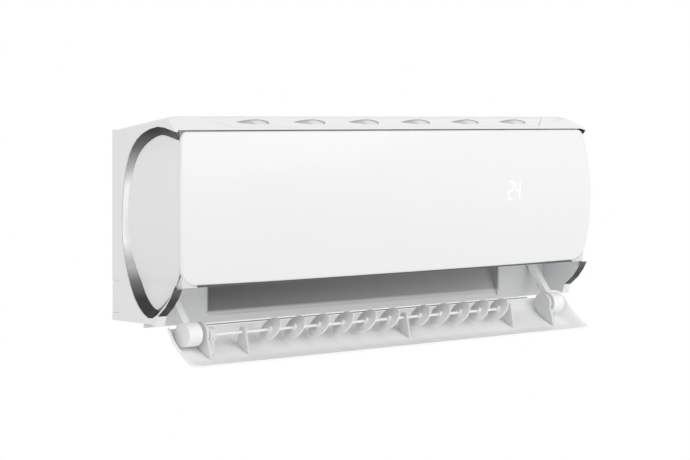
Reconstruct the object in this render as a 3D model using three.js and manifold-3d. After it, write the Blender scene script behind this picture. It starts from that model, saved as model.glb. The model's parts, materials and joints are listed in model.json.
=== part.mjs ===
// Wall-mounted indoor unit of a split air conditioner, in millimetres.
// +Z is up, +Y points into the wall, X runs along the unit, and the origin is the centre of the
// mounting plate's rear face. The unit is shown running: its outlet louver hangs open on two arms.
import * as THREE from "three";
import { mergeVertices } from "three/addons/utils/BufferGeometryUtils.js";
import Module from "manifold-3d";

const wasm = await Module();
wasm.setup();

// ---------------------------------------------------------------- driving dimensions

// Housing
const WIDTH = 950; // end to end
const HEIGHT = 320; // bottom edge to ridge
const REAR_HEIGHT = 298; // bottom edge to top edge at the wall
const RIDGE_DEPTH = 114; // wall to ridge
const WALL = 3; // moulded wall
const GAP = 0.35; // between pieces that touch
const END_RIM = 16; // depth of the end rim round each cheek
const TOP_CORNER = 34; // rounding of the two upper front corners

// Front panel
const PANEL_DEPTH = 170; // wall to the front panel at mid-height
const PANEL_BACK = 150; // wall to the frame behind the panel
const PANEL_RIM = 4; // depth of the panel's turned edge
const PANEL_BOTTOM = 60;
const PANEL_TOP = 296.5;
const PANEL_SKIN = 3;
const PANEL_CORNER = 30;
const PANEL_BARREL = 12; // how far the front falls back at its upper and lower edges
const PANEL_CROWN = 8; // extra depth in the middle of the length
const END_BARREL = 11; // how far the ends fall in at the upper and lower edges
const HINGE_INSET = 3.5; // panel hinge line below the panel's upper edge
const HINGE_PIN_RADIUS = 2;

// Side bands
const BAND_WIDTH = 13;
const BAND_SEAT = 2.4;
const CHEEK_SKIN = 2.6;
const CHEEK_CROWN = 11;
const TRIM_HEIGHT = 1.8;
const TRIM_DEPTH = 6;

// Mouth and louver
const LIP_DEPTH = 62; // wall to the lower lip
const LIP_HEIGHT = -2; // top of the lip
const BELLY = 8; // how far the lip reaches below the lip's top
const MOUTH_HALF = 458;
const MOUTH_CEILING = 54;
const OUTLET_HALF = 335;
const LOUVER_HALF = 456;
const LOUVER_SKIN = 3;
const KNUCKLE = { y: -122, z: -18 }; // louver hinge axis, arms out
const LOUVER_SWING = 62.4; // degrees from open to closed
const ARM_TRAVEL = 52;
const ARM_LEAN = 37.5; // degrees from the vertical
const ARM_CENTRE = 418; // distance of each arm from the middle
const ARM_SIZE = 13;
const ARM_LENGTH = 115; // knuckle axis to the arm's upper end
const DRUM_RADIUS = 19;
const DRUM_HALF = 13;
const PIN_RADIUS = 4;
const EAR_THICKNESS = 5;
const EAR_RADIUS = 22;

// Rack drive
const MODULE = 1.5;
const PINION_TEETH = 10;
const PINION_STATION = 104; // along the arm from the knuckle
const STEPPER_RADIUS = 14;
const STEPPER_LENGTH = 19;

// Vane shaft
const SHAFT = { y: -130, z: -20 };
const SHAFT_RADIUS = 2.6;
const DISC_RADIUS = 22;
const DISC_THICKNESS = 2.2;
const DISC_LEAN = 35; // degrees
const LEFT_DISCS = { count: 6, first: -260, pitch: 52.4 };
const RIGHT_DISCS = { count: 5, first: 75, pitch: 48.3 };
const SHAFT_CENTRE_SUPPORT = 37;
const SHAFT_LEFT_SUPPORT = -316;
const SHAFT_RIGHT_SUPPORT = 294;

// Inside
const FAN = { y: -76, z: 132 };
const FAN_RADIUS = 42;
const FAN_BLADE = 9;
const FAN_HALF = 322;
const FAN_BLADES = 14;
const COIL_HALF = 325;
const COIL_THICKNESS = 22;
const COIL_PLATE = 1.5;
const MOTOR_RADIUS = 42;
const MOTOR_LENGTH = 42;

// Mounting plate
const PLATE_HALF = 330;
const PLATE_BOTTOM = 45;
const PLATE_TOP = 275;
const PLATE_SKIN = 2;

// ---------------------------------------------------------------- finishes

const FINISH = {
  white: [0xf2f3f3, 0.35, 0],
  softWhite: [0xe9eaea, 0.5, 0],
  duct: [0x9a9c9e, 0.6, 0],
  chrome: [0xd9dbdd, 0.12, 1],
  steel: [0xb9bdc0, 0.4, 0.9],
  fins: [0xc7ccd0, 0.45, 0.8],
  copper: [0xb87345, 0.35, 0.9],
  brass: [0xc9a552, 0.35, 0.9],
  black: [0x2b2c2e, 0.55, 0],
  rubber: [0x303133, 0.85, 0],
  board: [0x2f6b45, 0.6, 0],
  filter: [0x5b6064, 0.8, 0],
};

function finish(name) {
  const [color, roughness, metalness] = FINISH[name];
  return new THREE.MeshStandardMaterial({ color, roughness, metalness });
}

// ---------------------------------------------------------------- solids

const HALF = WIDTH / 2;
const RAD = Math.PI / 180;

function solidOf(geometry) {
  const bare = geometry.clone();
  bare.deleteAttribute("normal");
  bare.deleteAttribute("uv");
  const merged = mergeVertices(bare, 1e-4);
  return new wasm.Manifold(
    new wasm.Mesh({
      numProp: 3,
      vertProperties: merged.attributes.position.array,
      triVerts: new Uint32Array(merged.index.array),
    }),
  );
}

function join(...solids) {
  return solids.reduce((a, b) => a.add(b));
}

function cut(solid, ...tools) {
  return tools.reduce((a, b) => a.subtract(b), solid);
}

function meshOf(name, solid, look) {
  const { vertProperties, triVerts, numProp, numVert } = solid.getMesh();
  const position = new Float32Array(numVert * 3);
  for (let i = 0; i < numVert; i++) {
    position.set(vertProperties.subarray(i * numProp, i * numProp + 3), i * 3);
  }
  const geometry = new THREE.BufferGeometry();
  geometry.setAttribute("position", new THREE.BufferAttribute(position, 3));
  geometry.setIndex(new THREE.BufferAttribute(new Uint32Array(triVerts), 1));
  geometry.computeVertexNormals();
  const mesh = new THREE.Mesh(geometry, finish(look));
  mesh.name = name;
  return mesh;
}

function box(x0, x1, y0, y1, z0, z1) {
  const geometry = new THREE.BoxGeometry(x1 - x0, y1 - y0, z1 - z0);
  geometry.translate((x0 + x1) / 2, (y0 + y1) / 2, (z0 + z1) / 2);
  return solidOf(geometry);
}

// A box from -half to half along X.
function wideBox(half, y0, y1, z0, z1) {
  return box(-half, half, y0, y1, z0, z1);
}

const ALONG_X = new THREE.Matrix4().makeBasis(
  new THREE.Vector3(0, 1, 0),
  new THREE.Vector3(0, 0, 1),
  new THREE.Vector3(1, 0, 0),
);
const ALONG_Y = new THREE.Matrix4().makeBasis(
  new THREE.Vector3(1, 0, 0),
  new THREE.Vector3(0, 0, 1),
  new THREE.Vector3(0, -1, 0),
);

function outlineShape(points) {
  return new THREE.Shape(points.map(([a, b]) => new THREE.Vector2(a, b)));
}

// Extrudes a (y, z) outline from x0 to x1.
function prismX(points, x0, x1) {
  const shape = points instanceof THREE.Shape ? points : outlineShape(points);
  const geometry = new THREE.ExtrudeGeometry(shape, {
    depth: x1 - x0,
    bevelEnabled: false,
    curveSegments: 8,
  });
  geometry.applyMatrix4(ALONG_X);
  geometry.translate(x0, 0, 0);
  return solidOf(geometry);
}

// Extrudes an (x, z) outline from y0 to y1.
function prismY(points, y0, y1) {
  const shape = points instanceof THREE.Shape ? points : outlineShape(points);
  const geometry = new THREE.ExtrudeGeometry(shape, {
    depth: y1 - y0,
    bevelEnabled: false,
    curveSegments: 6,
  });
  geometry.applyMatrix4(ALONG_Y);
  geometry.translate(0, y1, 0);
  return solidOf(geometry);
}

function rodX(radius, x0, x1, y, z, sides = 20) {
  const geometry = new THREE.CylinderGeometry(radius, radius, x1 - x0, sides);
  geometry.rotateZ(Math.PI / 2);
  geometry.translate((x0 + x1) / 2, y, z);
  return solidOf(geometry);
}

function rodY(radius, y0, y1, x, z, sides = 16) {
  const geometry = new THREE.CylinderGeometry(radius, radius, y1 - y0, sides);
  geometry.translate(x, (y0 + y1) / 2, z);
  return solidOf(geometry);
}

function rodZ(radius, z0, z1, x, y, sides = 16) {
  const geometry = new THREE.CylinderGeometry(radius, radius, z1 - z0, sides);
  geometry.rotateX(Math.PI / 2);
  geometry.translate(x, y, (z0 + z1) / 2);
  return solidOf(geometry);
}

// A round tube that follows a smooth line through the points.
function pipe(points, radius, steps) {
  const path = new THREE.CatmullRomCurve3(points.map((p) => new THREE.Vector3(...p)));
  const shape = new THREE.Shape();
  shape.absarc(0, 0, radius, 0, 2 * Math.PI, false);
  const geometry = new THREE.ExtrudeGeometry(shape, {
    steps,
    curveSegments: 5,
    extrudePath: path,
  });
  return solidOf(geometry);
}

// A closed slab between two grids of points: front(u, v) and back(u, v), for each u and v listed.
function slab(front, back, us, vs) {
  const position = [];
  const index = [];
  const across = us.length - 1;
  const up = vs.length - 1;
  const row = vs.length;
  const sheet = us.length * row;
  for (const side of [front, back]) {
    for (const u of us) {
      for (const v of vs) {
        position.push(...side(u, v));
      }
    }
  }
  const at = (side, i, j) => side * sheet + i * row + j;
  const quad = (a, b, c, d) => index.push(a, b, c, a, c, d);
  for (let i = 0; i < across; i++) {
    for (let j = 0; j < up; j++) {
      quad(at(0, i, j), at(0, i + 1, j), at(0, i + 1, j + 1), at(0, i, j + 1));
      quad(at(1, i, j), at(1, i, j + 1), at(1, i + 1, j + 1), at(1, i + 1, j));
    }
    quad(at(0, i, 0), at(1, i, 0), at(1, i + 1, 0), at(0, i + 1, 0));
    quad(at(0, i, up), at(0, i + 1, up), at(1, i + 1, up), at(1, i, up));
  }
  for (let j = 0; j < up; j++) {
    quad(at(0, 0, j), at(0, 0, j + 1), at(1, 0, j + 1), at(1, 0, j));
    quad(at(0, across, j), at(1, across, j), at(1, across, j + 1), at(0, across, j + 1));
  }
  const geometry = new THREE.BufferGeometry();
  geometry.setAttribute("position", new THREE.BufferAttribute(new Float32Array(position), 3));
  geometry.setIndex(index);
  const made = solidOf(geometry);
  return made.volume() < 0 ? solidOf(flipped(geometry)) : made;
}

function flipped(geometry) {
  const index = geometry.index.array;
  for (let i = 0; i < index.length; i += 3) {
    [index[i + 1], index[i + 2]] = [index[i + 2], index[i + 1]];
  }
  return geometry;
}

// The same solid on the other side of the middle.
function mirrored(solid) {
  const { vertProperties, triVerts, numProp, numVert } = solid.getMesh();
  const position = new Float32Array(numVert * 3);
  for (let i = 0; i < numVert; i++) {
    position[3 * i] = -vertProperties[i * numProp];
    position[3 * i + 1] = vertProperties[i * numProp + 1];
    position[3 * i + 2] = vertProperties[i * numProp + 2];
  }
  const geometry = new THREE.BufferGeometry();
  geometry.setAttribute("position", new THREE.BufferAttribute(position, 3));
  geometry.setIndex(new THREE.BufferAttribute(new Uint32Array(triVerts), 1));
  return solidOf(flipped(geometry));
}

// Moves an outline of (y, z) points inwards by d, for outlines that run anticlockwise.
function inset(points, d) {
  const n = points.length;
  return points.map(([y, z], i) => {
    const [py, pz] = points[(i + n - 1) % n];
    const [ny, nz] = points[(i + 1) % n];
    const a = new THREE.Vector2(y - py, z - pz).normalize();
    const b = new THREE.Vector2(ny - y, nz - z).normalize();
    const m = new THREE.Vector2(-a.y - b.y, a.x + b.x).normalize();
    const reach = d / Math.max(0.5, m.dot(new THREE.Vector2(-a.y, a.x)));
    return [y + m.x * reach, z + m.y * reach];
  });
}

function smooth(a, b, x) {
  const t = Math.min(1, Math.max(0, (x - a) / (b - a)));
  return t * t * (3 - 2 * t);
}

function steps(from, to, count) {
  return Array.from({ length: count + 1 }, (_, i) => from + ((to - from) * i) / count);
}

// A smooth (y, z) line through the points, as count + 1 points.
function curve(points, count) {
  const line = new THREE.SplineCurve(points.map(([y, z]) => new THREE.Vector2(y, z)));
  return line.getPoints(count).map((p) => [p.x, p.y]);
}

// ---------------------------------------------------------------- outlines, as (y, z) points

const OPEN_FRONT = -260; // well in front of every piece
const FRAME_FRONT = -(PANEL_BACK - 1);
const SLOPE_FOOT = -(PANEL_BACK + 7);
const CENTRE_Z = (PANEL_BOTTOM + PANEL_TOP) / 2;
const PANEL_REACH = (PANEL_TOP - PANEL_BOTTOM) / 2;
const CHEEK_FLAT = HALF - END_RIM + 2;

// The side band's outer line, from its lower front end round the back to its upper front end.
const BAND_LINE = curve(
  [
    [SLOPE_FOOT - 1, PANEL_BOTTOM - 2],
    [-134.5, 30],
    [-96, 8.5],
    [-57, 38],
    [-31, 100],
    [-24.4, HEIGHT / 2],
    [-32, 228],
    [-55, HEIGHT - 43],
    [-104, HEIGHT - 16.5],
    [SLOPE_FOOT - 3, PANEL_TOP - 0.5],
  ],
  30,
);

// The casing's full side outline, anticlockwise from the lower edge at the wall.
const SIDE_OUTLINE = [
  [0, 0],
  [0, REAR_HEIGHT],
  [-RIDGE_DEPTH + 8, HEIGHT - 1.6],
  [-RIDGE_DEPTH, HEIGHT],
  [-RIDGE_DEPTH - 6, HEIGHT - 1.6],
  [SLOPE_FOOT, PANEL_TOP + 2.3],
  [FRAME_FRONT, PANEL_TOP + 2.3],
  [FRAME_FRONT, PANEL_BOTTOM - 3],
  [SLOPE_FOOT, PANEL_BOTTOM - 3],
  [-148.5, 42.8],
  [-136.2, 28.1],
  [-118.5, 14.3],
  [-112, -3.5],
  [-100, 0],
];

// Slides a point along the roof from the ridge down to the panel, t from 0 to 1.
function slopePoint(t, below = 0) {
  const [y0, z0] = SIDE_OUTLINE[4];
  const [y1, z1] = SIDE_OUTLINE[5];
  const length = Math.hypot(y1 - y0, z1 - z0);
  return [
    y0 + (y1 - y0) * t - ((z0 - z1) / length) * -below,
    z0 + (z1 - z0) * t - ((y0 - y1) / length) * below,
  ];
}

// ---------------------------------------------------------------- arm axes

const ARM_UP = [Math.sin(ARM_LEAN * RAD), Math.cos(ARM_LEAN * RAD)];
const ARM_ACROSS = [-ARM_UP[1], ARM_UP[0]];

// The (y, z) point a millimetres up the arm from the knuckle and b to its upper front side.
function armPoint(a, b = 0) {
  return [
    KNUCKLE.y + a * ARM_UP[0] + b * ARM_ACROSS[0],
    KNUCKLE.z + a * ARM_UP[1] + b * ARM_ACROSS[1],
  ];
}

function armBar(a0, a1, b0, b1, x0, x1) {
  const corners = [
    [a0, b0],
    [a1, b0],
    [a1, b1],
    [a0, b1],
  ];
  return prismX(corners.map(([a, b]) => armPoint(a, b)), x0, x1);
}

const ARM_IN = ARM_CENTRE - ARM_SIZE / 2;
const ARM_OUT = ARM_CENTRE + ARM_SIZE / 2;
const PITCH_RADIUS = (MODULE * PINION_TEETH) / 2;
const RACK_LINE = ARM_SIZE / 2 - MODULE;
const PINION_SIDE = RACK_LINE + PITCH_RADIUS;

// ---------------------------------------------------------------- casing pieces

// Where the scoops stand along X, either side of the middle.
const SCOOP_PITCH = 115;
const SCOOPS = [-2.5, -1.5, -0.5, 0.5, 1.5, 2.5].map((k) => k * SCOOP_PITCH);
const SCOOP_HALF = 36;
const SCOOP_DEPTH = 8.5;
const SCOOP_PLACE = 0.36; // how far down the slope
const FASCIA_SKIN = 2.4;
const FASCIA_RIDGE_HALF = 392;
const FASCIA_FOOT_HALF = 352;

// A teardrop, pointed towards -X, cut straight down through the roof's front slope.
function scoopTool(x) {
  const shape = new THREE.Shape();
  const half = SCOOP_HALF;
  const deep = SCOOP_DEPTH;
  shape.moveTo(-half, 0);
  shape.quadraticCurveTo(-half * 0.3, -deep, half * 0.5, -deep);
  shape.absarc(half * 0.5, 0, deep, -Math.PI / 2, Math.PI / 2, false);
  shape.quadraticCurveTo(-half * 0.3, deep, -half, 0);
  const geometry = new THREE.ExtrudeGeometry(shape, {
    depth: 40,
    bevelEnabled: false,
    curveSegments: 5,
  });
  geometry.translate(x, slopePoint(SCOOP_PLACE)[0], HEIGHT - 30);
  return solidOf(geometry);
}

// The slab under the roof's front slope between two depths below its surface, from share t0 of
// the slope down to share t1, and as wide as the two half lengths.
function slopeSlab(top, bottom, ridgeHalf, footHalf, t0, t1) {
  const sheet = (depth) => (u, v) => [
    u * (ridgeHalf + (footHalf - ridgeHalf) * v),
    ...slopePoint(t0 + (t1 - t0) * v, depth),
  ];
  return slab(sheet(top), sheet(bottom), [-1, 1], [0, 1]);
}

const CORNER_START = 8; // wall to where the end's upper edge starts to round
const CORNER_LEAST = 5; // its radius there
const GRILLE_FRONT = -98;
const GRILLE_BACK = -14;
const GRILLE_HALF = 425;
const ROOF_RISE = (HEIGHT - 1.6 - REAR_HEIGHT) / (RIDGE_DEPTH - 8);

// Height of the rear roof's surface at a depth.
function roofAt(y) {
  return REAR_HEIGHT - y * ROOF_RISE;
}

// A slab of the rear roof between two depths below its surface.
function roofSlab(x0, x1, y0, y1, top, bottom) {
  const outline = [
    [y1, roofAt(y1) - bottom],
    [y1, roofAt(y1) - top],
    [y0, roofAt(y0) - top],
    [y0, roofAt(y0) - bottom],
  ];
  return prismX(outline, x0, x1);
}

const KNOCKOUT = { depth: 23, bottom: 12, top: 63, corner: 9 };

function knockoutShape(spare) {
  const { depth, bottom, top, corner } = KNOCKOUT;
  const shape = new THREE.Shape();
  const r = corner - spare;
  const rear = spare > 0 ? -spare : 1;
  shape.moveTo(rear, bottom + spare);
  shape.lineTo(rear, top - spare);
  shape.lineTo(-depth + corner, top - spare);
  shape.absarc(-depth + corner, top - corner, r, Math.PI / 2, Math.PI, false);
  shape.lineTo(-depth + spare, bottom + corner);
  shape.absarc(-depth + corner, bottom + corner, r, Math.PI, 1.5 * Math.PI, false);
  return shape;
}

const BUTTON = { x: 449, z: 110, cap: 4, stem: 2.5, travel: 2 };
const FRAME_OPENING = { half: 328, bottom: 76, top: 286 };
const FASCIA_CUT = [FASCIA_RIDGE_HALF + 1, FASCIA_FOOT_HALF + 1, 0.02, 0.8];

// The opening in each end that the band and the cheek fill, anticlockwise.
const END_RECESS = [...BAND_LINE, [OPEN_FRONT, PANEL_TOP - 0.5], [OPEN_FRONT, PANEL_BOTTOM - 2]];

function outerCasing() {
  const body = prismX(SIDE_OUTLINE, -HALF, HALF);
  const inner = inset(SIDE_OUTLINE, WALL).map(([y, z]) => (y > -WALL - 1 ? [20, z] : [y, z]));
  const corner = cornerTool(WALL);
  const cavity = cut(prismX(inner, -MOUTH_HALF, MOUTH_HALF), corner, mirrored(corner));
  const skin = FASCIA_SKIN + GAP;
  const backing = slopeSlab(skin, skin + WALL, MOUTH_HALF, MOUTH_HALF, 0.02, 0.78);
  const { half, bottom, top } = FRAME_OPENING;
  const casing = cut(
    join(cut(body, cavity), backing),
    slopeSlab(-2, skin, ...FASCIA_CUT),
    wideBox(half, OPEN_FRONT, FRAME_FRONT + 20, bottom, top),
    roofSlab(
      -GRILLE_HALF - GAP,
      GRILLE_HALF + GAP,
      GRILLE_FRONT - GAP,
      GRILLE_BACK + GAP,
      -5,
      WALL + 8,
    ),
    wideBox(MOUTH_HALF, OPEN_FRONT, -LIP_DEPTH + 12.5, -40, PANEL_BOTTOM - 3),
    rodY(BUTTON.stem + GAP, FRAME_FRONT - 2, FRAME_FRONT + 6, BUTTON.x, BUTTON.z),
  );
  const rim = cut(
    prismX(inset(SIDE_OUTLINE, WALL), MOUTH_HALF - 1, HALF - WALL),
    prismX(inset(END_RECESS, -WALL), MOUTH_HALF - 2, HALF),
    corner,
    box(MOUTH_HALF - 2, HALF, OPEN_FRONT, -LIP_DEPTH, -40, PANEL_BOTTOM + 20),
  );
  const ends = join(
    prismX(END_RECESS, MOUTH_HALF - 0.5, HALF + 5),
    largest(rim),
    prismX(knockoutShape(0), HALF - WALL - 1, HALF + 1),
    cornerTool(0),
  );
  return largest(cut(casing, ends, mirrored(ends)));
}

function largest(solid) {
  return solid.decompose().reduce((a, b) => (a.volume() > b.volume() ? a : b));
}

// The rounding of the end's upper edge at a depth: it grows from the wall to the ridge.
function cornerAt(y) {
  const share = Math.min(1, Math.max(0, (y + CORNER_START) / (CORNER_START - RIDGE_DEPTH)));
  const radius = CORNER_LEAST + (TOP_CORNER - CORNER_LEAST) * share;
  const start = roofAt(-CORNER_START) - CORNER_LEAST;
  return { radius, x: HALF - radius, z: start + (HEIGHT - TOP_CORNER - start) * share };
}

// How far out the casing's end stands at a point of its side.
function casingEnd(y, z) {
  const { radius, x, z: centre } = cornerAt(y);
  const up = Math.min(radius, Math.max(0, z - centre));
  return x + Math.sqrt(radius * radius - up * up);
}

// What rounds the upper edge of the right end off, a depth below the surface.
function cornerTool(below) {
  const stations = [-CORNER_START, -RIDGE_DEPTH, OPEN_FRONT];
  const arc = (u, v) => {
    const { radius, x, z } = cornerAt(u);
    const a = (v * Math.PI) / 2;
    return [x + (radius - below) * Math.cos(a), u, z + (radius - below) * Math.sin(a)];
  };
  const outside = (u, v) => {
    const { radius, x, z } = cornerAt(u);
    const reach = radius + 12;
    return [x + reach * Math.min(1, 2 - 2 * v), u, z + reach * Math.min(1, 2 * v)];
  };
  return slab(arc, outside, stations, steps(0, 1, 8));
}

function topGrille() {
  const rim = 6;
  const x = GRILLE_HALF;
  const bars = [];
  for (let k = 1; k < 6; k++) {
    const y = GRILLE_BACK + ((GRILLE_FRONT - GRILLE_BACK) * k) / 6;
    bars.push(roofSlab(-x + 2, x - 2, y - 1, y + 1, 0.6, WALL + 1));
  }
  for (let k = -2; k <= 2; k++) {
    const at = (k * x) / 3;
    bars.push(roofSlab(at - 1, at + 1, GRILLE_FRONT + 2, GRILLE_BACK - 2, 0.9, WALL + 3));
  }
  const frame = cut(
    roofSlab(-x, x, GRILLE_FRONT, GRILLE_BACK, 0, WALL),
    roofSlab(-x + rim, x - rim, GRILLE_FRONT + rim, GRILLE_BACK - rim, -5, WALL + 5),
  );
  return join(frame, ...bars);
}

function topFascia() {
  const plate = slopeSlab(0, FASCIA_SKIN, FASCIA_RIDGE_HALF, FASCIA_FOOT_HALF, 0.03, 0.79);
  return cut(plate, ...SCOOPS.map((x) => scoopTool(x)));
}

function knockoutCover() {
  return prismX(knockoutShape(GAP), HALF - WALL + 0.4, HALF - 0.2);
}

// ---------------------------------------------------------------- front panel and ends

// How far out each end stands at a height, and how far forward the panel stands at a point.
function endAt(z) {
  const t = (z - CENTRE_Z) / PANEL_REACH;
  return CHEEK_FLAT + CHEEK_CROWN * Math.max(0, 1 - t * t);
}

function frontAt(x, z) {
  const t = (z - CENTRE_Z) / PANEL_REACH;
  const s = x / HALF;
  return -PANEL_DEPTH + PANEL_BARREL * t * t - PANEL_CROWN * (1 - s * s);
}

// How far an edge of radius r has rounded away at a distance from its outer limit.
function roundAway(distance, r) {
  const d = r - Math.min(r, Math.max(0, distance));
  return r - Math.sqrt(r * r - d * d);
}

const EDGE_ROLL = 3;

// One sheet of the panel: grown by a spare all round and lying a depth behind the front.
function panelSheet(spare, depth, roll) {
  const reach = PANEL_REACH + spare;
  const corner = PANEL_CORNER + spare;
  return (u, v) => {
    const z = CENTRE_Z + v * reach;
    const up = reach * (1 - Math.abs(v));
    const half = endAt(z) + spare - roundAway(up, corner);
    const x = u * half;
    const away = roll
      ? Math.max(roundAway(half * (1 - Math.abs(u)), roll), roundAway(up, roll))
      : 0;
    return [x, frontAt(x, z) + depth + away, z];
  };
}

function panelSteps(edges) {
  const outer = edges.map((d) => 1 - d);
  return [...outer.map((v) => -v), ...steps(-0.66, 0.66, 6), ...outer.reverse()];
}

const PANEL_US = panelSteps([0, 0.005]);
const PANEL_VS = panelSteps([0, 0.01, 0.04, 0.12, 0.26]);

// The panel's own outline, grown by a spare, from front to rear.
function panelBlock(spare, front, back) {
  return slab(panelSheet(spare, front, 0), panelSheet(spare, back, 0), PANEL_US, PANEL_VS);
}

const PIN_STATION = 428;
const HINGE_Y = -(PANEL_DEPTH - PANEL_BARREL - 1);
const HINGE_Z = PANEL_TOP - HINGE_INSET - PANEL_SKIN;

function frontPanel() {
  const shell = slab(panelSheet(0, 0, EDGE_ROLL), panelSheet(0, PANEL_RIM, 0), PANEL_US, PANEL_VS);
  const hollow = panelBlock(-PANEL_SKIN, PANEL_SKIN, PANEL_RIM + 5);
  return cut(shell, hollow);
}

function displayBoard() {
  const y = frontAt(298, 215) + PANEL_SKIN + GAP;
  return box(238, 298, y, y + 2.8, 168, 215);
}

function cheekRegion(spare) {
  return inset(END_RECESS, BAND_WIDTH + spare);
}

function outsideOf(points) {
  return cut(
    box(MOUTH_HALF - 30, HALF + 30, OPEN_FRONT - 10, 40, -60, HEIGHT + 60),
    prismX(points, MOUTH_HALF - 31, HALF + 31),
  );
}

const CHEEK_LEVELS = steps(0, 1, 12);

function cheekBlock(skin, inner, y0, y1, z0, z1) {
  const level = (v) => z0 + (z1 - z0) * v;
  const outer = (u, v) => [endAt(level(v)) - skin, u > 0 ? y1 : y0, level(v)];
  const inside = (u, v) => [inner, u > 0 ? y1 : y0, level(v)];
  return slab(outer, inside, [0, 1], CHEEK_LEVELS);
}

// The cut between a cheek and the small piece under the panel's lower corner.
const CORNER_CUT = [
  [-167, 96],
  [-138, 45],
  [-138, 20],
  [-175, 20],
  [-175, 96],
];

// All that lies in front of the panel's rear plane at the right end.
function frontSpace() {
  const at = (u, v) => [440 + 40 * u, HEIGHT * v];
  const sheet = (depth) => (u, v) => {
    const [x, z] = at(u, v);
    return [x, frontAt(x, z) + depth, z];
  };
  return slab(sheet(-60), sheet(PANEL_RIM + GAP), [0, 1], CHEEK_LEVELS);
}

function endCheek() {
  const block = cheekBlock(0, MOUTH_HALF - 0.15, -PANEL_DEPTH, -20, 2, HEIGHT);
  const hollow = cheekBlock(CHEEK_SKIN, MOUTH_HALF - 1, -PANEL_BACK + 3, -20, 74, HEIGHT - 44);
  return largest(
    cut(
      block,
      outsideOf(cheekRegion(GAP)),
      frontSpace(),
      prismX(CORNER_CUT, MOUTH_HALF - 1, HALF + 1),
      cut(hollow, outsideOf(cheekRegion(CHEEK_SKIN + 2))),
    ),
  );
}

function sideBand() {
  const rim = inset(END_RECESS, GAP);
  const edge = inset(END_RECESS, BAND_WIDTH);
  const last = BAND_LINE.length - 1;
  const sheet = (drop) => (u, v) => {
    const i = Math.round(u * last);
    const [y, z] = v > 0 ? edge[i] : rim[i];
    return [(v > 0 ? endAt(z) : casingEnd(y, z) - 1.2) - drop, y, z];
  };
  const ribbon = slab(sheet(0), sheet(BAND_SEAT), steps(0, 1, last), [0, 1]);
  return largest(
    cut(
      ribbon,
      box(MOUTH_HALF - 20, HALF + 9, OPEN_FRONT, FRAME_FRONT - 1, -20, CENTRE_Z),
      box(MOUTH_HALF - 20, HALF + 9, OPEN_FRONT, FRAME_FRONT - 1, CENTRE_Z, HEIGHT),
      prismX(CORNER_CUT, MOUTH_HALF - 30, HALF + 1),
    ),
  );
}

function cornerFiller() {
  const outline = [
    [-160, 83],
    [-139.5, 47],
    [-147, 51.5],
    [-156, 57.9],
    [-160, 57.9],
  ];
  return largest(
    cut(
      prismX(outline, 431, CHEEK_FLAT - 0.3),
      panelBlock(GAP, -30, PANEL_RIM + GAP),
      panelBlock(GAP, -2, 3),
      box(400, MOUTH_HALF - 0.1, FRAME_FRONT - GAP, 0, -20, HEIGHT),
      box(400, MOUTH_HALF - 0.1, OPEN_FRONT, 0, -20, PANEL_BOTTOM - 2.1),
    ),
  );
}

function lowerTrimStrip() {
  const top = PANEL_BOTTOM - GAP;
  return wideBox(430, FRAME_FRONT - GAP - TRIM_DEPTH - 6, FRAME_FRONT - GAP, top - TRIM_HEIGHT, top);
}

function emergencyButton() {
  const { x, z, cap, stem, travel } = BUTTON;
  return join(
    rodY(cap, FRAME_FRONT - travel - 4, FRAME_FRONT - travel - GAP, x, z, 20),
    rodY(stem, FRAME_FRONT - travel - 2, FRAME_FRONT + WALL + 1, x, z, 20),
    rodY(cap, FRAME_FRONT + WALL + GAP, FRAME_FRONT + WALL + 1.8, x, z, 20),
  );
}

// ---------------------------------------------------------------- outlet housing

const SHEET = 2.5;
const WING_CEILING = [
  [-(PANEL_BACK - 4.5), PANEL_BOTTOM + 0.6],
  [-112, MOUTH_CEILING],
  [-66, MOUTH_CEILING],
];
const DUCT_FRONT = [
  [-(PANEL_BACK - 6.6), PANEL_BOTTOM + 1.2],
  [-132.5, 76],
  [-119.5, 93],
  [-115.5, 98],
];
const DUCT_REAR = [
  [-62, -4],
  [-60.5, 6],
  [-51, 30],
  [-40, 64],
  [-31, 105],
  [-22, 150],
];

// A sheet that follows an open line, with its thickness on the line's left.
function ribbonX(line, thickness, x0, x1) {
  const n = line.length - 1;
  const offset = line.map(([y, z], i) => {
    const [py, pz] = line[Math.max(0, i - 1)];
    const [ny, nz] = line[Math.min(n, i + 1)];
    const along = new THREE.Vector2(ny - py, nz - pz).normalize();
    return [y - along.y * thickness, z + along.x * thickness];
  });
  return prismX([...line, ...offset.reverse()], x0, x1);
}

const MOTOR_SEAT = { y0: -64.5, y1: -33, z0: 38, z1: 76 };
const PINION_AT = armPoint(PINION_STATION, -PINION_SIDE);
const STEPPER_FACE = 398;

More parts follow.
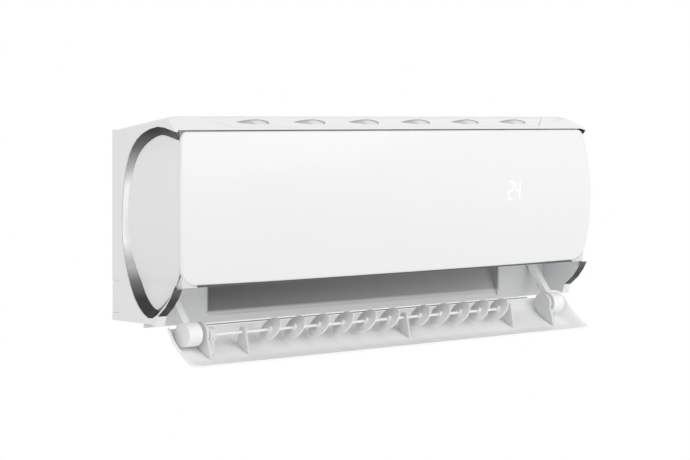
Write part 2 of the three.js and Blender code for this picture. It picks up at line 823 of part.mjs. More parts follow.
function outletHousing() {
  const wing = [MOUTH_HALF - GAP, OUTLET_HALF];
  const side = join(
    ribbonX(WING_CEILING, SHEET, wing[1], wing[0]),
    box(wing[1], wing[0], -66, -66 + SHEET, -2.4, MOUTH_CEILING + SHEET),
    box(wing[1], wing[0], -66, -LIP_DEPTH + 12.1, -2.4, 0.2),
    prismX(
      [
        [-(PANEL_BACK - 4.5), PANEL_BOTTOM + 3],
        [-119, 98.5],
        [-90, 103],
        [-29.5, 108],
        [-38, 64],
        [-48, 30],
        [-58.5, 4],
        [-61, -2.4],
        [-66, -2.4],
        [-66, MOUTH_CEILING + 0.4],
        [-112, MOUTH_CEILING + 0.4],
      ].reverse(),
      OUTLET_HALF,
      OUTLET_HALF + SHEET,
    ),
    cut(
      box(
        STEPPER_FACE + GAP,
        STEPPER_FACE + GAP + SHEET,
        MOTOR_SEAT.y0,
        MOTOR_SEAT.y1,
        MOTOR_SEAT.z0,
        MOTOR_SEAT.z1,
      ),
      rodX(3.4, STEPPER_FACE - 5, STEPPER_FACE + 9, ...PINION_AT),
    ),
  );
  const slot = armBar(50, 150, -7.6, 7.6, ARM_IN - 1, ARM_OUT + 1);
  const housing = join(
    ribbonX(DUCT_FRONT, SHEET, -OUTLET_HALF - 1, OUTLET_HALF + 1),
    ribbonX(DUCT_REAR.slice().reverse(), SHEET, -OUTLET_HALF - 1, OUTLET_HALF + 1),
    prismX(
      [
        [-22, -0.4],
        [-49.9, -0.4],
        [-58, 2],
        [-62, 2],
        [-LIP_DEPTH, -9.2],
        [-60.5, -LIP_HEIGHT - BELLY - 4.4],
      ],
      -395,
      395,
    ),
    side,
    mirrored(side),
  );
  return cut(housing, slot, mirrored(slot));
}

function drainPan() {
  const outside = [
    [-145.2, 103.5],
    [-145.2, 68.8],
    [-141.8, 68.8],
    [-119.2, 99.6],
    [-116.5, 103.5],
  ];
  const inside = [
    [-143.4, 112],
    [-143.4, 72],
    [-142.6, 72],
    [-120.4, 101],
    [-119, 112],
  ];
  return cut(prismX(outside, -326, 326), prismX(inside, -324, 324));
}

function drainSpigot() {
  return pipe(
    [
      [-327.4, -133, 92],
      [-342, -131, 90],
      [-352, -112, 84],
      [-353, -80, 74],
      [-354, -57, 62],
      [-356, -55.5, 30],
      [-368, -55.5, 14],
      [-400, -55.5, 11],
      [-440, -55.5, 11],
    ],
    5.5,
    20,
  );
}

// ---------------------------------------------------------------- heat exchanger and pipes

const COIL_FRONT = [
  [-145.5, 103.9],
  [-123.5, 103.9],
  [-123.5, 226],
  [-145.5, 233],
];
const COIL_TOP = [
  [-141.7, 247],
  [-126.3, 231.2],
  [-86.5, 269],
  [-101.5, 285],
];
const COIL_REAR = [
  [-81.7, 266.8],
  [-45.7, 199.8],
  [-26.3, 210.2],
  [-62.3, 277.2],
];

function coil(outline) {
  return prismX(outline, -COIL_HALF, COIL_HALF);
}

function coilEndPlate(x0, x1) {
  const bridge = [
    [-145.5, 228],
    [-123.5, 222],
    [-122, 230],
    [-86, 264],
    [-76, 262],
    [-62, 277],
    [-101, 286],
    [-142, 246],
  ];
  const outlines = [COIL_FRONT, COIL_TOP, COIL_REAR, bridge];
  return join(...outlines.map((points) => prismX(points, x0, x1)));
}

const COIL_ENDS = [COIL_HALF + GAP, COIL_HALF + GAP + COIL_PLATE];
const HEADER_X = -COIL_ENDS[1] - 7;

function coilHeader() {
  const stubs = [128, 156, 184, 212].map((z) =>
    rodX(4, HEADER_X - 2, -COIL_ENDS[1] - GAP, -134, z, 12),
  );
  return join(rodZ(5.5, 120, 222, HEADER_X, -134, 16), ...stubs);
}

function returnBends() {
  const x0 = COIL_ENDS[1] + GAP;
  const bars = [118, 142, 166, 190, 214].map((z) => rodX(4, x0, x0 + 8, -134, z, 12));
  return join(...bars, rodZ(4, 116, 216, x0 + 8, -134, 12));
}

const PIPES = {
  gas: { radius: 4.8, z: 30, y: -26, drop: -360, top: 196 },
  liquid: { radius: 3.2, z: 17, y: -40, drop: -349, top: 132 },
};
const NUT = { x0: -452, x1: -434 };

function linePipe({ radius, z, y, drop, top }) {
  return pipe(
    [
      [HEADER_X - 6.2, -134, top],
      [HEADER_X - 11, -133.4, top],
      [drop, -120, top - 3],
      [drop, -80, top - 10],
      [drop, y - 4, top - 30],
      [drop, y, top - 60],
      [drop, y, z + 26],
      [drop - 10, y, z + 4],
      [drop - 30, y, z],
      [NUT.x1 + GAP, y, z],
    ],
    radius,
    18,
  );
}

function flareNut({ radius, z, y }) {
  const hex = rodX(radius * 1.9, NUT.x0, NUT.x1, y, z, 6);
  return cut(hex, rodX(radius * 0.6, NUT.x0 - 1, NUT.x0 + 10, y, z, 14));
}

function airFilter(x0, x1) {
  const { bottom, top } = FRAME_OPENING;
  const front = FRAME_FRONT + GAP;
  const back = FRAME_FRONT + WALL - 0.6;
  const pockets = [];
  const columns = 5;
  const rows = 3;
  const wide = (x1 - x0 - 4) / columns;
  const high = (top - bottom - 8) / rows;
  for (let i = 0; i < columns; i++) {
    for (let j = 0; j < rows; j++) {
      const x = x0 + 2 + wide * i;
      const z = bottom + 4 + high * j;
      pockets.push(box(x + 1.5, x + wide - 1.5, front - 1, back - 0.7, z + 1.5, z + high - 1.5));
    }
  }
  return cut(box(x0, x1, front, back, bottom + 0.3, top - 0.3), ...pockets);
}

// ---------------------------------------------------------------- fan and its motor

const MOTOR_X = 341;
const FAN_SHAFT = 4;

function crossFlowFan() {
  const discs = [-FAN_HALF, 0, FAN_HALF - 4].map((x) =>
    rodX(FAN_RADIUS, x, x + 4, FAN.y, FAN.z, 28),
  );
  const blades = [];
  for (let k = 0; k < FAN_BLADES; k++) {
    const turn = (2 * Math.PI * k) / FAN_BLADES;
    const place = (r, a) => [
      FAN.y + r * Math.cos(turn + a),
      FAN.z + r * Math.sin(turn + a),
    ];
    const r0 = FAN_RADIUS - FAN_BLADE;
    const r1 = FAN_RADIUS - 0.8;
    const outline = [place(r0, 0.02), place(r1, 0.14), place(r1, 0.18), place(r0, 0.07)];
    blades.push(prismX(outline, -FAN_HALF + 1, FAN_HALF - 1));
  }
  return join(
    ...discs,
    ...blades,
    rodX(FAN_SHAFT, -337, -FAN_HALF + 1, FAN.y, FAN.z, 14),
    rodX(FAN_SHAFT, FAN_HALF - 1, MOTOR_X + 11, FAN.y, FAN.z, 14),
  );
}

function fanBearing() {
  return cut(
    box(-337.7, -331.7, FAN.y - 13, FAN.y + 13, FAN.z - 13, FAN.z + 13),
    rodX(FAN_SHAFT + GAP, -340, -328, FAN.y, FAN.z, 18),
  );
}

function fanMotor() {
  return cut(
    join(
      rodX(MOTOR_RADIUS, MOTOR_X + 4, MOTOR_X + MOTOR_LENGTH - 4, FAN.y, FAN.z, 36),
      rodX(MOTOR_RADIUS - 14, MOTOR_X, MOTOR_X + MOTOR_LENGTH, FAN.y, FAN.z, 28),
    ),
    rodX(FAN_SHAFT + GAP, MOTOR_X - 2, MOTOR_X + 13, FAN.y, FAN.z, 18),
  );
}

const CLAMP = { x0: MOTOR_X + 14, x1: MOTOR_X + 26, tab: 8 };

function motorClamp() {
  const { x0, x1, tab } = CLAMP;
  const outer = MOTOR_RADIUS + GAP + 2;
  const lip = box(x0, x1, FAN.y + 2, FAN.y + 5, FAN.z + MOTOR_RADIUS, FAN.z + MOTOR_RADIUS + tab);
  const foot = box(x0, x1, FAN.y + 2, FAN.y + 5, FAN.z - MOTOR_RADIUS - tab, FAN.z - MOTOR_RADIUS);
  const ring = cut(
    join(rodX(outer, x0, x1, FAN.y, FAN.z, 36), lip, foot),
    rodX(MOTOR_RADIUS + GAP, x0 - 1, x1 + 1, FAN.y, FAN.z, 36),
  );
  return cut(ring, box(x0 - 1, x1 + 1, FAN.y + 5, 0, FAN.z - 90, FAN.z + 90));
}

const EBOX = { x0: 345, x1: 453, y0: -132, y1: -45, z0: 184, z1: 272 };
const CHASSIS = { front: -7, back: -4, half: 457.6, bottom: 3.35, top: 295.3 };
const HOOK = { x: [-220, 0, 220], half: 14, z: 262 };

function chassis() {
  const { front, back, half, bottom, top } = CHASSIS;
  const saddle = cut(
    box(CLAMP.x0, CLAMP.x1, FAN.y + 5.3, back, FAN.z - 50, EBOX.z0 - 0.3),
    rodX(MOTOR_RADIUS + GAP + 0.1, CLAMP.x0 - 1, CLAMP.x1 + 1, FAN.y, FAN.z, 36),
  );
  const pillar = join(
    box(-341, -338, FAN.y - 16, back, FAN.z - 20, FAN.z + 20),
    box(-341, -338, FAN.y + 30, back, FAN.z - 90, FAN.z + 60),
  );
  const hold = cut(pillar, rodX(FAN_SHAFT + 2, -345, -335, FAN.y, FAN.z, 18));
  const slots = HOOK.x.map((x) =>
    box(x - HOOK.half - 2, x + HOOK.half + 2, front - 1, back + 1, HOOK.z - 8, HOOK.z - 3.2),
  );
  const brace = box(COIL_ENDS[1] + 0.3, COIL_ENDS[1] + 3.3, -70, back, 205, 270);
  const notch = box(-half - 1, -half + 24, front - 1, back + 1, bottom - 1, 70);
  const wall = wideBox(half, front, back, bottom, top);
  return cut(join(wall, saddle, hold, brace, mirrored(brace)), ...slots, notch);
}

function mountingPlate() {
  const plate = wideBox(PLATE_HALF, -PLATE_SKIN, 0, PLATE_BOTTOM, PLATE_TOP);
  const hooks = HOOK.x.map((x) =>
    join(
      box(x - HOOK.half, x + HOOK.half, -10, -PLATE_SKIN + 0.5, HOOK.z - 6, HOOK.z - 3.5),
      box(x - HOOK.half, x + HOOK.half, -10, -8, HOOK.z - 6, HOOK.z + 3),
    ),
  );
  const holes = [];
  for (const x of [-290, -150, 150, 290]) {
    for (const z of [PLATE_BOTTOM + 20, PLATE_TOP - 40]) {
      holes.push(rodY(3, -PLATE_SKIN - 1, 1, x, z, 8));
    }
  }
  for (const x of [-215, 215]) {
    holes.push(box(x - 60, x + 60, -PLATE_SKIN - 1, 1, 110, 200));
  }
  return cut(join(plate, ...hooks), ...holes);
}

// ---------------------------------------------------------------- electrics


function electricalBox() {
  const { x0, x1, y0, y1, z0, z1 } = EBOX;
  return cut(
    box(x0, x1, y0, y1, z0, z1),
    box(x0 + 2, x1 - 2, y0 - 1, y1 - 2, z0 + 2, z1 - 2),
  );
}

function electricalBoxLid() {
  const { x0, x1, y0, z0, z1 } = EBOX;
  return box(x0, x1, y0 - GAP - 2, y0 - GAP, z0, z1);
}

function controlBoard() {
  const { x0, x1, y0, y1, z0 } = EBOX;
  const z = z0 + 2.3;
  return join(
    box(x0 + 6, x1 - 6, y0 + 6, y1 - 6, z, z + 1.6),
    box(x0 + 16, x0 + 44, y0 + 16, y0 + 40, z + 1, z + 26),
    rodZ(9, z + 1, z + 30, x1 - 26, y0 + 30, 16),
    box(x0 + 56, x0 + 86, y1 - 30, y1 - 14, z + 1, z + 18),
  );
}

function terminalBlock() {
  const { x0, x1, y0, y1, z1 } = EBOX;
  const posts = steps(x0 + 22, x1 - 22, 4).map((x) =>
    rodY(3, y0 + 20, y0 + 27, x, z1 - 22, 10),
  );
  return cut(box(x0 + 12, x1 - 12, y0 + 24, y0 + 40, z1 - 34, z1 - 2.3), ...posts);
}

// ---------------------------------------------------------------- arms and their drive

const PITCH = MODULE * Math.PI;
const TOOTH = { tip: 0.28, root: 0.84 }; // half widths, as shares of the module

function rackTeeth() {
  const teeth = [];
  const first = Math.ceil((46 - PINION_STATION) / PITCH);
  const last = Math.floor((112 - PINION_STATION) / PITCH);
  const tip = -(PINION_SIDE - PITCH_RADIUS + MODULE);
  const root = tip + MODULE * 2.5;
  for (let k = first; k <= last; k++) {
    const a = PINION_STATION + k * PITCH;
    const outline = [
      [a - TOOTH.root * MODULE, root],
      [a + TOOTH.root * MODULE, root],
      [a + TOOTH.tip * MODULE, tip],
      [a - TOOTH.tip * MODULE, tip],
    ];
    teeth.push(prismX(outline.map(([p, q]) => armPoint(p, q)).reverse(), ARM_IN, ARM_OUT));
  }
  return teeth;
}

function arm() {
  const half = ARM_SIZE / 2;
  const bar = cut(
    armBar(8, ARM_LENGTH, -half, half, ARM_IN, ARM_OUT),
    armBar(44, 113.4, -half - 1, -half + MODULE * 2.3, ARM_IN - 1, ARM_OUT + 1),
  );
  const drum = rodX(DRUM_RADIUS, ARM_CENTRE - DRUM_HALF, ARM_CENTRE + DRUM_HALF, KNUCKLE.y, KNUCKLE.z, 32);
  const bore = rodX(PIN_RADIUS + GAP, ARM_CENTRE - DRUM_HALF - 1, ARM_CENTRE - 3, KNUCKLE.y, KNUCKLE.z, 20);
  return cut(join(bar, ...rackTeeth(), drum), bore);
}

// A tooth of the pinion stands in the gap between two teeth of the rack.
function pinion() {
  const [y, z] = PINION_AT;
  const x0 = ARM_IN + 1;
  const x1 = ARM_OUT - 1;
  const root = PITCH_RADIUS - MODULE * 1.2;
  const tip = PITCH_RADIUS + MODULE;
  const facing = Math.atan2(ARM_ACROSS[1], ARM_ACROSS[0]);
  const teeth = [];
  for (let k = 0; k < PINION_TEETH; k++) {
    const turn = facing + ((k + 0.5) * 2 * Math.PI) / PINION_TEETH;
    const place = (r, w) => [
      y + r * Math.cos(turn) - w * Math.sin(turn),
      z + r * Math.sin(turn) + w * Math.cos(turn),
    ];
    const outline = [
      place(root - 1, -TOOTH.root * MODULE),
      place(root + 0.8, -TOOTH.root * MODULE),
      place(tip, -TOOTH.tip * MODULE),
      place(tip, TOOTH.tip * MODULE),
      place(root + 0.8, TOOTH.root * MODULE),
      place(root - 1, TOOTH.root * MODULE),
    ];
    teeth.push(prismX(outline, x0, x1));
  }
  return join(
    rodX(root, x0, x1, y, z, 20),
    rodX(2.8, STEPPER_FACE + GAP, x0 + 1, y, z, 16),
    ...teeth,
  );
}

function armMotor() {
  const [y, z] = PINION_AT;
  return rodX(STEPPER_RADIUS, STEPPER_FACE - STEPPER_LENGTH, STEPPER_FACE, y, z, 24);
}

function armGuide() {
  const x0 = ARM_IN - 0.6;
  const x1 = ARM_OUT + 0.6;
  const wall = 2.2;
  const near = ARM_SIZE / 2 + 0.7;
  const channel = join(
    armBar(91.5, 122, near, near + wall, x0 - wall, x1 + wall),
    armBar(99, 122, -near - 1, near + wall, x0 - wall, x0),
    armBar(99, 122, -near - 1, near + wall, x1, x1 + wall),
    armBar(116, 122, -near - wall, -near, x0 - wall, x1 + wall),
  );
  const foot = box(x0 - wall, x1 + wall, -92, -73.3, MOUTH_CEILING + SHEET + GAP, 62);
  return join(channel, foot);
}

// ---------------------------------------------------------------- louver

const LOUVER_MIDDLE = new THREE.SplineCurve(
  [
    [-86.6, -9.1],
    [-105, -35.6],
    [-142, -56.8],
    [-166.3, -62.2],
    [-183.3, -62.3],
  ].map(([y, z]) => new THREE.Vector2(y, z)),
);
const LOUVER_END = new THREE.SplineCurve(
  [
    [-112, -3],
    [-129, -25],
    [-147, -42],
    [-164, -53.5],
    [-181, -62],
  ].map(([y, z]) => new THREE.Vector2(y, z)),
);
const SPOON = 25; // length over which each end of the louver turns up

// A sheet of the louver at a height above its lower face; v runs from its rear edge to its front.
function louverSheet(height, spare = 0) {
  return (u, v) => {
    const edge = Math.max(0, v - 0.86) / 0.14;
    const rear = Math.max(0, 0.16 - v) / 0.16;
    const half = LOUVER_HALF + spare - 13 * edge ** 2.4 - 9 * rear ** 2.4;
    const x = u * half;
    const w = smooth(LOUVER_HALF - SPOON, LOUVER_HALF, Math.abs(x));
    const p = LOUVER_MIDDLE.getPoint(v).lerp(LOUVER_END.getPoint(v), w);
    const d = LOUVER_MIDDLE.getTangent(v).lerp(LOUVER_END.getTangent(v), w).normalize();
    return [x, p.x + d.y * height, p.y - d.x * height];
  };
}

const LOUVER_US = [
  -1, -0.994, -0.985, -0.972, -0.958, -0.945, -0.5, 0, 0.5, 0.945, 0.958, 0.972, 0.985, 0.994, 1,
];
const LOUVER_VS = [0.03, 0.08, 0.16, 0.27, 0.4, 0.54, 0.7, 0.86, 0.92, 0.96, 0.978];

function louver() {
  return slab(louverSheet(0), louverSheet(LOUVER_SKIN), LOUVER_US, LOUVER_VS);
}

// Everything below the louver's upper face, with a gap.
function louverTool() {
  const vs = [0, ...LOUVER_VS, 1];
  const share = LOUVER_HALF / (LOUVER_HALF + 4);
  const us = LOUVER_US.map((u) => (Math.abs(u) < 1 ? u * share : u));
  return slab(louverSheet(-20, 4), louverSheet(LOUVER_SKIN + GAP, 4), us, vs);
}

function louverSeal() {
  return slab(
    (u, v) => {
      const [, y, z] = louverSheet(0.5)(0, v);
      return [u, y, z];
    },
    (u, v) => {
      const [, y, z] = louverSheet(LOUVER_SKIN - 0.5)(0, v);
      return [u, y, z];
    },
    [-388, 388],
    [0.004, 0.0265],
  );
}

function louverEar() {
  const x0 = ARM_CENTRE - DRUM_HALF - 8 - EAR_THICKNESS;
  const x1 = x0 + EAR_THICKNESS;
  const { y, z } = KNUCKLE;
  const foot = [
    [y + 14, z - 17],
    [y + 2, z],
    [y - 20, z - 9],
    [y - 30, z - 52],
    [y + 10, z - 44],
  ];
  const plate = join(rodX(EAR_RADIUS - 3, x0, x1, y, z, 32), prismX(foot.reverse(), x0, x1));
  return join(
    cut(plate, louverTool()),
    rodX(PIN_RADIUS, x1 - 1, ARM_CENTRE - 5, y, z, 18),
    rodX(PIN_RADIUS + 4, x1 - 1, x1 + 5, y, z, 24),
  );
}

// ---------------------------------------------------------------- vanes

function vaneDisc(x) {
  const geometry = new THREE.CylinderGeometry(DISC_RADIUS, DISC_RADIUS, DISC_THICKNESS, 20);
  geometry.rotateZ(Math.PI / 2);
  geometry.rotateY(DISC_LEAN * RAD);
  geometry.translate(x, SHAFT.y, SHAFT.z);
  return solidOf(geometry);
}

const VANE_MOTOR = { x0: -391, x1: -378, radius: 12 };

function vaneShaft() {
  const places = [LEFT_DISCS, RIGHT_DISCS].flatMap(({ count, first, pitch }) =>
    Array.from({ length: count }, (_, k) => first + k * pitch),
  );
  const rod = rodX(SHAFT_RADIUS, VANE_MOTOR.x1 + GAP, SHAFT_RIGHT_SUPPORT + 5, SHAFT.y, SHAFT.z, 14);
  return join(rod, ...places.map(vaneDisc));
}

function shaftSupport(x) {
  const { y, z } = SHAFT;
  const plate = [
    [y - 6, z + 8],
    [y - 12, z - 20],
    [y - 16, z - 50],
    [y + 18, z - 50],
    [y + 13, z - 15],
    [y + 6, z + 8],
  ];
  return largest(
    cut(
      prismX(plate, x - 1.5, x + 1.5),
      rodX(SHAFT_RADIUS + GAP, x - 4, x + 4, y, z, 18),
      louverTool(),
    ),
  );
}

function vaneMotor() {
  const { x0, x1, radius } = VANE_MOTOR;
  const { y, z } = SHAFT;
  return largest(
    cut(
      join(rodX(radius, x0, x1, y, z, 24), box(x0 + 3, x1 - 3, y - 9, y + 9, z - 45, z)),
      louverTool(),
    ),
  );
}

// ---------------------------------------------------------------- the unit

function both(name, make, look) {
  const right = make();
  return [meshOf(`${name}_left`, mirrored(right), look), meshOf(`${name}_right`, right, look)];
}

const unit = new THREE.Group();
unit.name = "mini_split_indoor_unit";
unit.position.z = -HEIGHT / 2;
unit.add(
  meshOf("mounting_plate", mountingPlate(), "steel"),
  meshOf("chassis", chassis(), "softWhite"),
  meshOf("outer_casing", outerCasing(), "white"),
  meshOf("top_grille", topGrille(), "white"),
  meshOf("top_fascia", topFascia(), "white"),
  meshOf("front_panel", frontPanel(), "white"),
  meshOf("display_board", displayBoard(), "board"),
  ...both("end_cheek", endCheek, "white"),
  ...both("side_band", sideBand, "chrome"),
  ...both("corner_filler", cornerFiller, "softWhite"),
  ...both("knockout_cover", knockoutCover, "white"),
  meshOf("lower_trim_strip", lowerTrimStrip(), "chrome"),
  meshOf("emergency_button", emergencyButton(), "white"),
  meshOf("outlet_housing", outletHousing(), "softWhite"),
  meshOf("drain_pan", drainPan(), "duct"),
  meshOf("drain_spigot", drainSpigot(), "duct"),
  meshOf("evaporator_front", coil(COIL_FRONT), "fins"),
  meshOf("evaporator_top", coil(COIL_TOP), "fins"),
  meshOf("evaporator_rear", coil(COIL_REAR), "fins"),
  meshOf("coil_end_plate_left", coilEndPlate(-COIL_ENDS[1], -COIL_ENDS[0]), "steel"),
  meshOf("coil_end_plate_right", coilEndPlate(...COIL_ENDS), "steel"),
  meshOf("coil_header", coilHeader(), "copper"),
  meshOf("return_bends", returnBends(), "copper"),
  meshOf("gas_pipe", linePipe(PIPES.gas), "copper"),
  meshOf("liquid_pipe", linePipe(PIPES.liquid), "copper"),
  meshOf("flare_nut_gas", flareNut(PIPES.gas), "brass"),
  meshOf("flare_nut_liquid", flareNut(PIPES.liquid), "brass"),
  meshOf("air_filter_left", airFilter(-327.7, -0.2), "filter"),
  meshOf("air_filter_right", airFilter(0.2, 327.7), "filter"),
  meshOf("cross_flow_fan", crossFlowFan(), "black"),
  meshOf("fan_bearing", fanBearing(), "rubber"),
  meshOf("fan_motor", fanMotor(), "softWhite"),
  meshOf("motor_clamp", motorClamp(), "steel"),
  meshOf("electrical_box", electricalBox(), "softWhite"),
  meshOf("electrical_box_lid", electricalBoxLid(), "steel"),
  meshOf("control_board", controlBoard(), "board"),
  meshOf("terminal_block", terminalBlock(), "black"),
  ...both("louver_arm", arm, "white"),
  ...both("arm_pinion", pinion, "softWhite"),
  ...both("arm_motor", armMotor, "steel"),
  ...both("arm_guide", armGuide, "softWhite"),
  meshOf("louver", louver(), "white"),
  meshOf("louver_seal", louverSeal(), "rubber"),
  ...both("louver_ear", louverEar, "softWhite"),
  meshOf("vane_shaft", vaneShaft(), "white"),
  meshOf("vane_motor", vaneMotor(), "softWhite"),
  meshOf("shaft_support_left", shaftSupport(SHAFT_LEFT_SUPPORT), "softWhite"),
  meshOf("shaft_support_centre", shaftSupport(SHAFT_CENTRE_SUPPORT), "softWhite"),
  meshOf("shaft_support_right", shaftSupport(SHAFT_RIGHT_SUPPORT), "softWhite"),
);

export default unit;
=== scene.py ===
"""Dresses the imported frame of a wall-mounted air conditioner's indoor unit for a studio picture.

Lengths are metres. Heights named in the settings are above the housing's bottom edge.
"""

import json
import math

import bmesh
import bpy
import numpy as np
from bpy.props import (
    FloatProperty,
    FloatVectorProperty,
    IntProperty,
    PointerProperty,
    StringProperty,
)
from mathutils import Euler, Matrix, Vector


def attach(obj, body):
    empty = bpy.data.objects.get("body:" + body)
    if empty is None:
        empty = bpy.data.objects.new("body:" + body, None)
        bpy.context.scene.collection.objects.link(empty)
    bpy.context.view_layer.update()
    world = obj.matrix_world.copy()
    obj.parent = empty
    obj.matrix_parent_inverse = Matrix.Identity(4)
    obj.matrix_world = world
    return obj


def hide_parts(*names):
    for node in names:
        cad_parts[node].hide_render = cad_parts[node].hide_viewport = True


bl_info = {
    "name": "Wall unit dresser",
    "version": (1, 0, 0),
    "blender": (4, 5, 0),
    "location": "3D View > Sidebar > Wall Unit",
    "description": "Builds the shown pieces of a mini split indoor unit round its packed frame",
    "category": "Object",
}

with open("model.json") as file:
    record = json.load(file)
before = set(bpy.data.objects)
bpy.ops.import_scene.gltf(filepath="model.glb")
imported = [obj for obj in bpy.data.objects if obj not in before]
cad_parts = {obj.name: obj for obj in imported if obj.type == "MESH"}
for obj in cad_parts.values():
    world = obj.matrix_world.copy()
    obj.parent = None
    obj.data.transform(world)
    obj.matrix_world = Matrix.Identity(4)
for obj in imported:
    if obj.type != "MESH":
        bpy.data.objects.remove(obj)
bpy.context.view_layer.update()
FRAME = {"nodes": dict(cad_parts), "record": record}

HOUSING_HALF = 0.475
HOUSING_HEIGHT = 0.320
REAR_HEIGHT = 0.298
RIDGE_DEPTH = 0.114
RIDGE_RUN = 0.008  # the rear roof's straight part stops this far behind the ridge
RIDGE_DROP = 0.0016  # and this far below the housing's full height
ROOF_RISE = (HOUSING_HEIGHT - RIDGE_DROP - REAR_HEIGHT) / (RIDGE_DEPTH - RIDGE_RUN)
CORNER_START = 0.008  # wall to where the end's upper edge starts to round
CORNER_LEAST = 0.005  # its radius there
CORNER_MOST = 0.034  # its radius at the ridge
CENTRE_LINE = HOUSING_HEIGHT / 2
GAP = 0.00035  # between two pieces that meet
SHARP_ANGLE = math.radians(32)
SLOPE_TOP = (-0.120, 0.3184)
SLOPE_FOOT = (-0.157, 0.2988)


# ------------------------------------------------------------------ settings


class PanelSettings(bpy.types.PropertyGroup):
    """Sizes of the front panel and of the ends beside it."""

    depth: FloatProperty(
        name="Depth", description="Wall to the panel at mid-height", default=0.170, unit="LENGTH"
    )
    bottom: FloatProperty(
        name="Bottom", description="Height of the panel's lower edge", default=0.060, unit="LENGTH"
    )
    top: FloatProperty(
        name="Top", description="Height of the panel's upper edge", default=0.2965, unit="LENGTH"
    )
    corner: FloatProperty(
        name="Lower corner", description="Radius of the lower corners", default=0.030, unit="LENGTH"
    )
    top_corner: FloatProperty(
        name="Upper corner", description="Radius of the upper corners", default=0.012, unit="LENGTH"
    )
    barrel: FloatProperty(
        name="Barrel", description="Fall at the upper and lower edges", default=0.012, unit="LENGTH"
    )
    crown: FloatProperty(
        name="Crown", description="Extra depth in the middle", default=0.008, unit="LENGTH"
    )
    rim: FloatProperty(
        name="Rim", description="Depth of the turned edge", default=0.004, unit="LENGTH"
    )
    roll: FloatProperty(
        name="Edge roll", description="Radius of the panel's edge", default=0.003, unit="LENGTH"
    )
    end_flat: FloatProperty(
        name="End", description="Half length at the corners", default=0.461, unit="LENGTH"
    )
    end_crown: FloatProperty(
        name="End crown", description="How far the ends swell", default=0.011, unit="LENGTH"
    )


class BandSettings(bpy.types.PropertyGroup):
    """Sizes of the bright band round each end."""

    width: FloatProperty(name="Width", description="Band width", default=0.013, unit="LENGTH")
    below: FloatProperty(
        name="Below", description="How far the rim lies inside", default=0.0012, unit="LENGTH"
    )
    return_inner: FloatProperty(
        name="Return inside", description="Edge's inner side", default=0.4586, unit="LENGTH"
    )
    return_outer: FloatProperty(
        name="Return outside", description="Edge's outer side", default=0.4744, unit="LENGTH"
    )
    steps: IntProperty(name="Steps", description="Steps round the band", default=160, min=24)


class LouverSettings(bpy.types.PropertyGroup):
    """Sizes of the louver and the vanes it carries."""

    half: FloatProperty(
        name="Half length", description="Middle to each end", default=0.456, unit="LENGTH"
    )
    skin: FloatProperty(name="Skin", description="Thickness", default=0.003, unit="LENGTH")
    spoon: FloatProperty(
        name="Spoon", description="Length of each turned-up end", default=0.025, unit="LENGTH"
    )
    disc: FloatProperty(name="Vane", description="Vane radius", default=0.022, unit="LENGTH")
    disc_skin: FloatProperty(
        name="Vane skin", description="Vane thickness", default=0.0022, unit="LENGTH"
    )
    lean: FloatProperty(
        name="Lean", description="Lean of the vanes", default=math.radians(35), subtype="ANGLE"
    )


class FinishSettings(bpy.types.PropertyGroup):
    """Colours of the unit."""

    white: FloatVectorProperty(
        name="White", description="Housing and panel", default=(0.86, 0.862, 0.866), subtype="COLOR"
    )
    # lighter than the housing's white as painted light: the same white moulding, lightened for the
    # light the louver gets
    louver: FloatVectorProperty(
        name="Louver", description="Louver and vanes", default=(0.93, 0.932, 0.935), subtype="COLOR"
    )
    soft_white: FloatVectorProperty(
        name="Soft white", description="Mouldings", default=(0.74, 0.745, 0.75), subtype="COLOR"
    )
    # the duct's own grey, darkened further as painted shade
    duct: FloatVectorProperty(
        name="Duct", description="Inside the outlet", default=(0.25, 0.25, 0.253), subtype="COLOR"
    )
    digits: FloatVectorProperty(
        name="Digits", description="Lit digits", default=(0.95, 0.96, 0.96), subtype="COLOR"
    )


class StageSettings(bpy.types.PropertyGroup):
    """Camera, lamps and floor."""

    lens: FloatProperty(name="Lens", description="Focal length in mm", default=107.45)
    floor: FloatProperty(
        name="Floor", description="Height of the floor", default=-1.30, unit="LENGTH"
    )
    world: FloatProperty(name="World", description="Strength of the surroundings", default=0.76)
    key: FloatProperty(name="Key", description="Power of the key lamp", default=25.0)
    fill: FloatProperty(name="Fill", description="Power of the fill lamp", default=7.0)
    low: FloatProperty(name="Low", description="Power of the low lamp", default=2.2)


# ------------------------------------------------------------------ shapes


def place(y, z, x):
    """A point from depth, height above the housing's bottom, and station along the unit."""
    return (x, y, z - CENTRE_LINE)


def smooth(a, b, x):
    """A smooth step from 0 at a to 1 at b."""
    t = min(1.0, max(0.0, (x - a) / (b - a)))
    return t * t * (3 - 2 * t)


def spline(points, count):
    """Count + 1 points of a smooth line through the points, spaced by knot."""
    pts = np.array(points, float)
    padded = np.vstack([2 * pts[0] - pts[1], pts, 2 * pts[-1] - pts[-2]])
    made = []
    for i in range(count + 1):
        s = i / count * (len(pts) - 1)
        k = min(int(s), len(pts) - 2)
        t = s - k
        p0, p1, p2, p3 = padded[k : k + 4]
        made.append(
            0.5
            * (
                2 * p1
                + (p2 - p0) * t
                + (2 * p0 - 5 * p1 + 4 * p2 - p3) * t * t
                + (3 * p1 - p0 - 3 * p2 + p3) * t**3
            )
        )
    return np.array(made)


def round_away(distance, radius):
    """How far an edge of a radius has rounded away at a distance from its outer limit."""
    d = radius - min(radius, max(0.0, distance))
    return radius - math.sqrt(max(0.0, radius * radius - d * d))


def panel_t(z, p):
    """A height as a share of the panel: -1 at its lower edge and 1 at its upper edge."""
    centre = (p.bottom + p.top) / 2
    return (z - centre) / ((p.top - p.bottom) / 2)


def end_at(z, p):
    """Half length of the panel and its cheeks at a height."""
    t = panel_t(z, p)
    return p.end_flat + p.end_crown * max(0.0, 1 - t * t)


def front_at(x, z, p):
    """Depth of the panel's face at a point."""
    t = panel_t(z, p)
    s = x / HOUSING_HALF
    return -p.depth + p.barrel * t * t - p.crown * (1 - s * s)


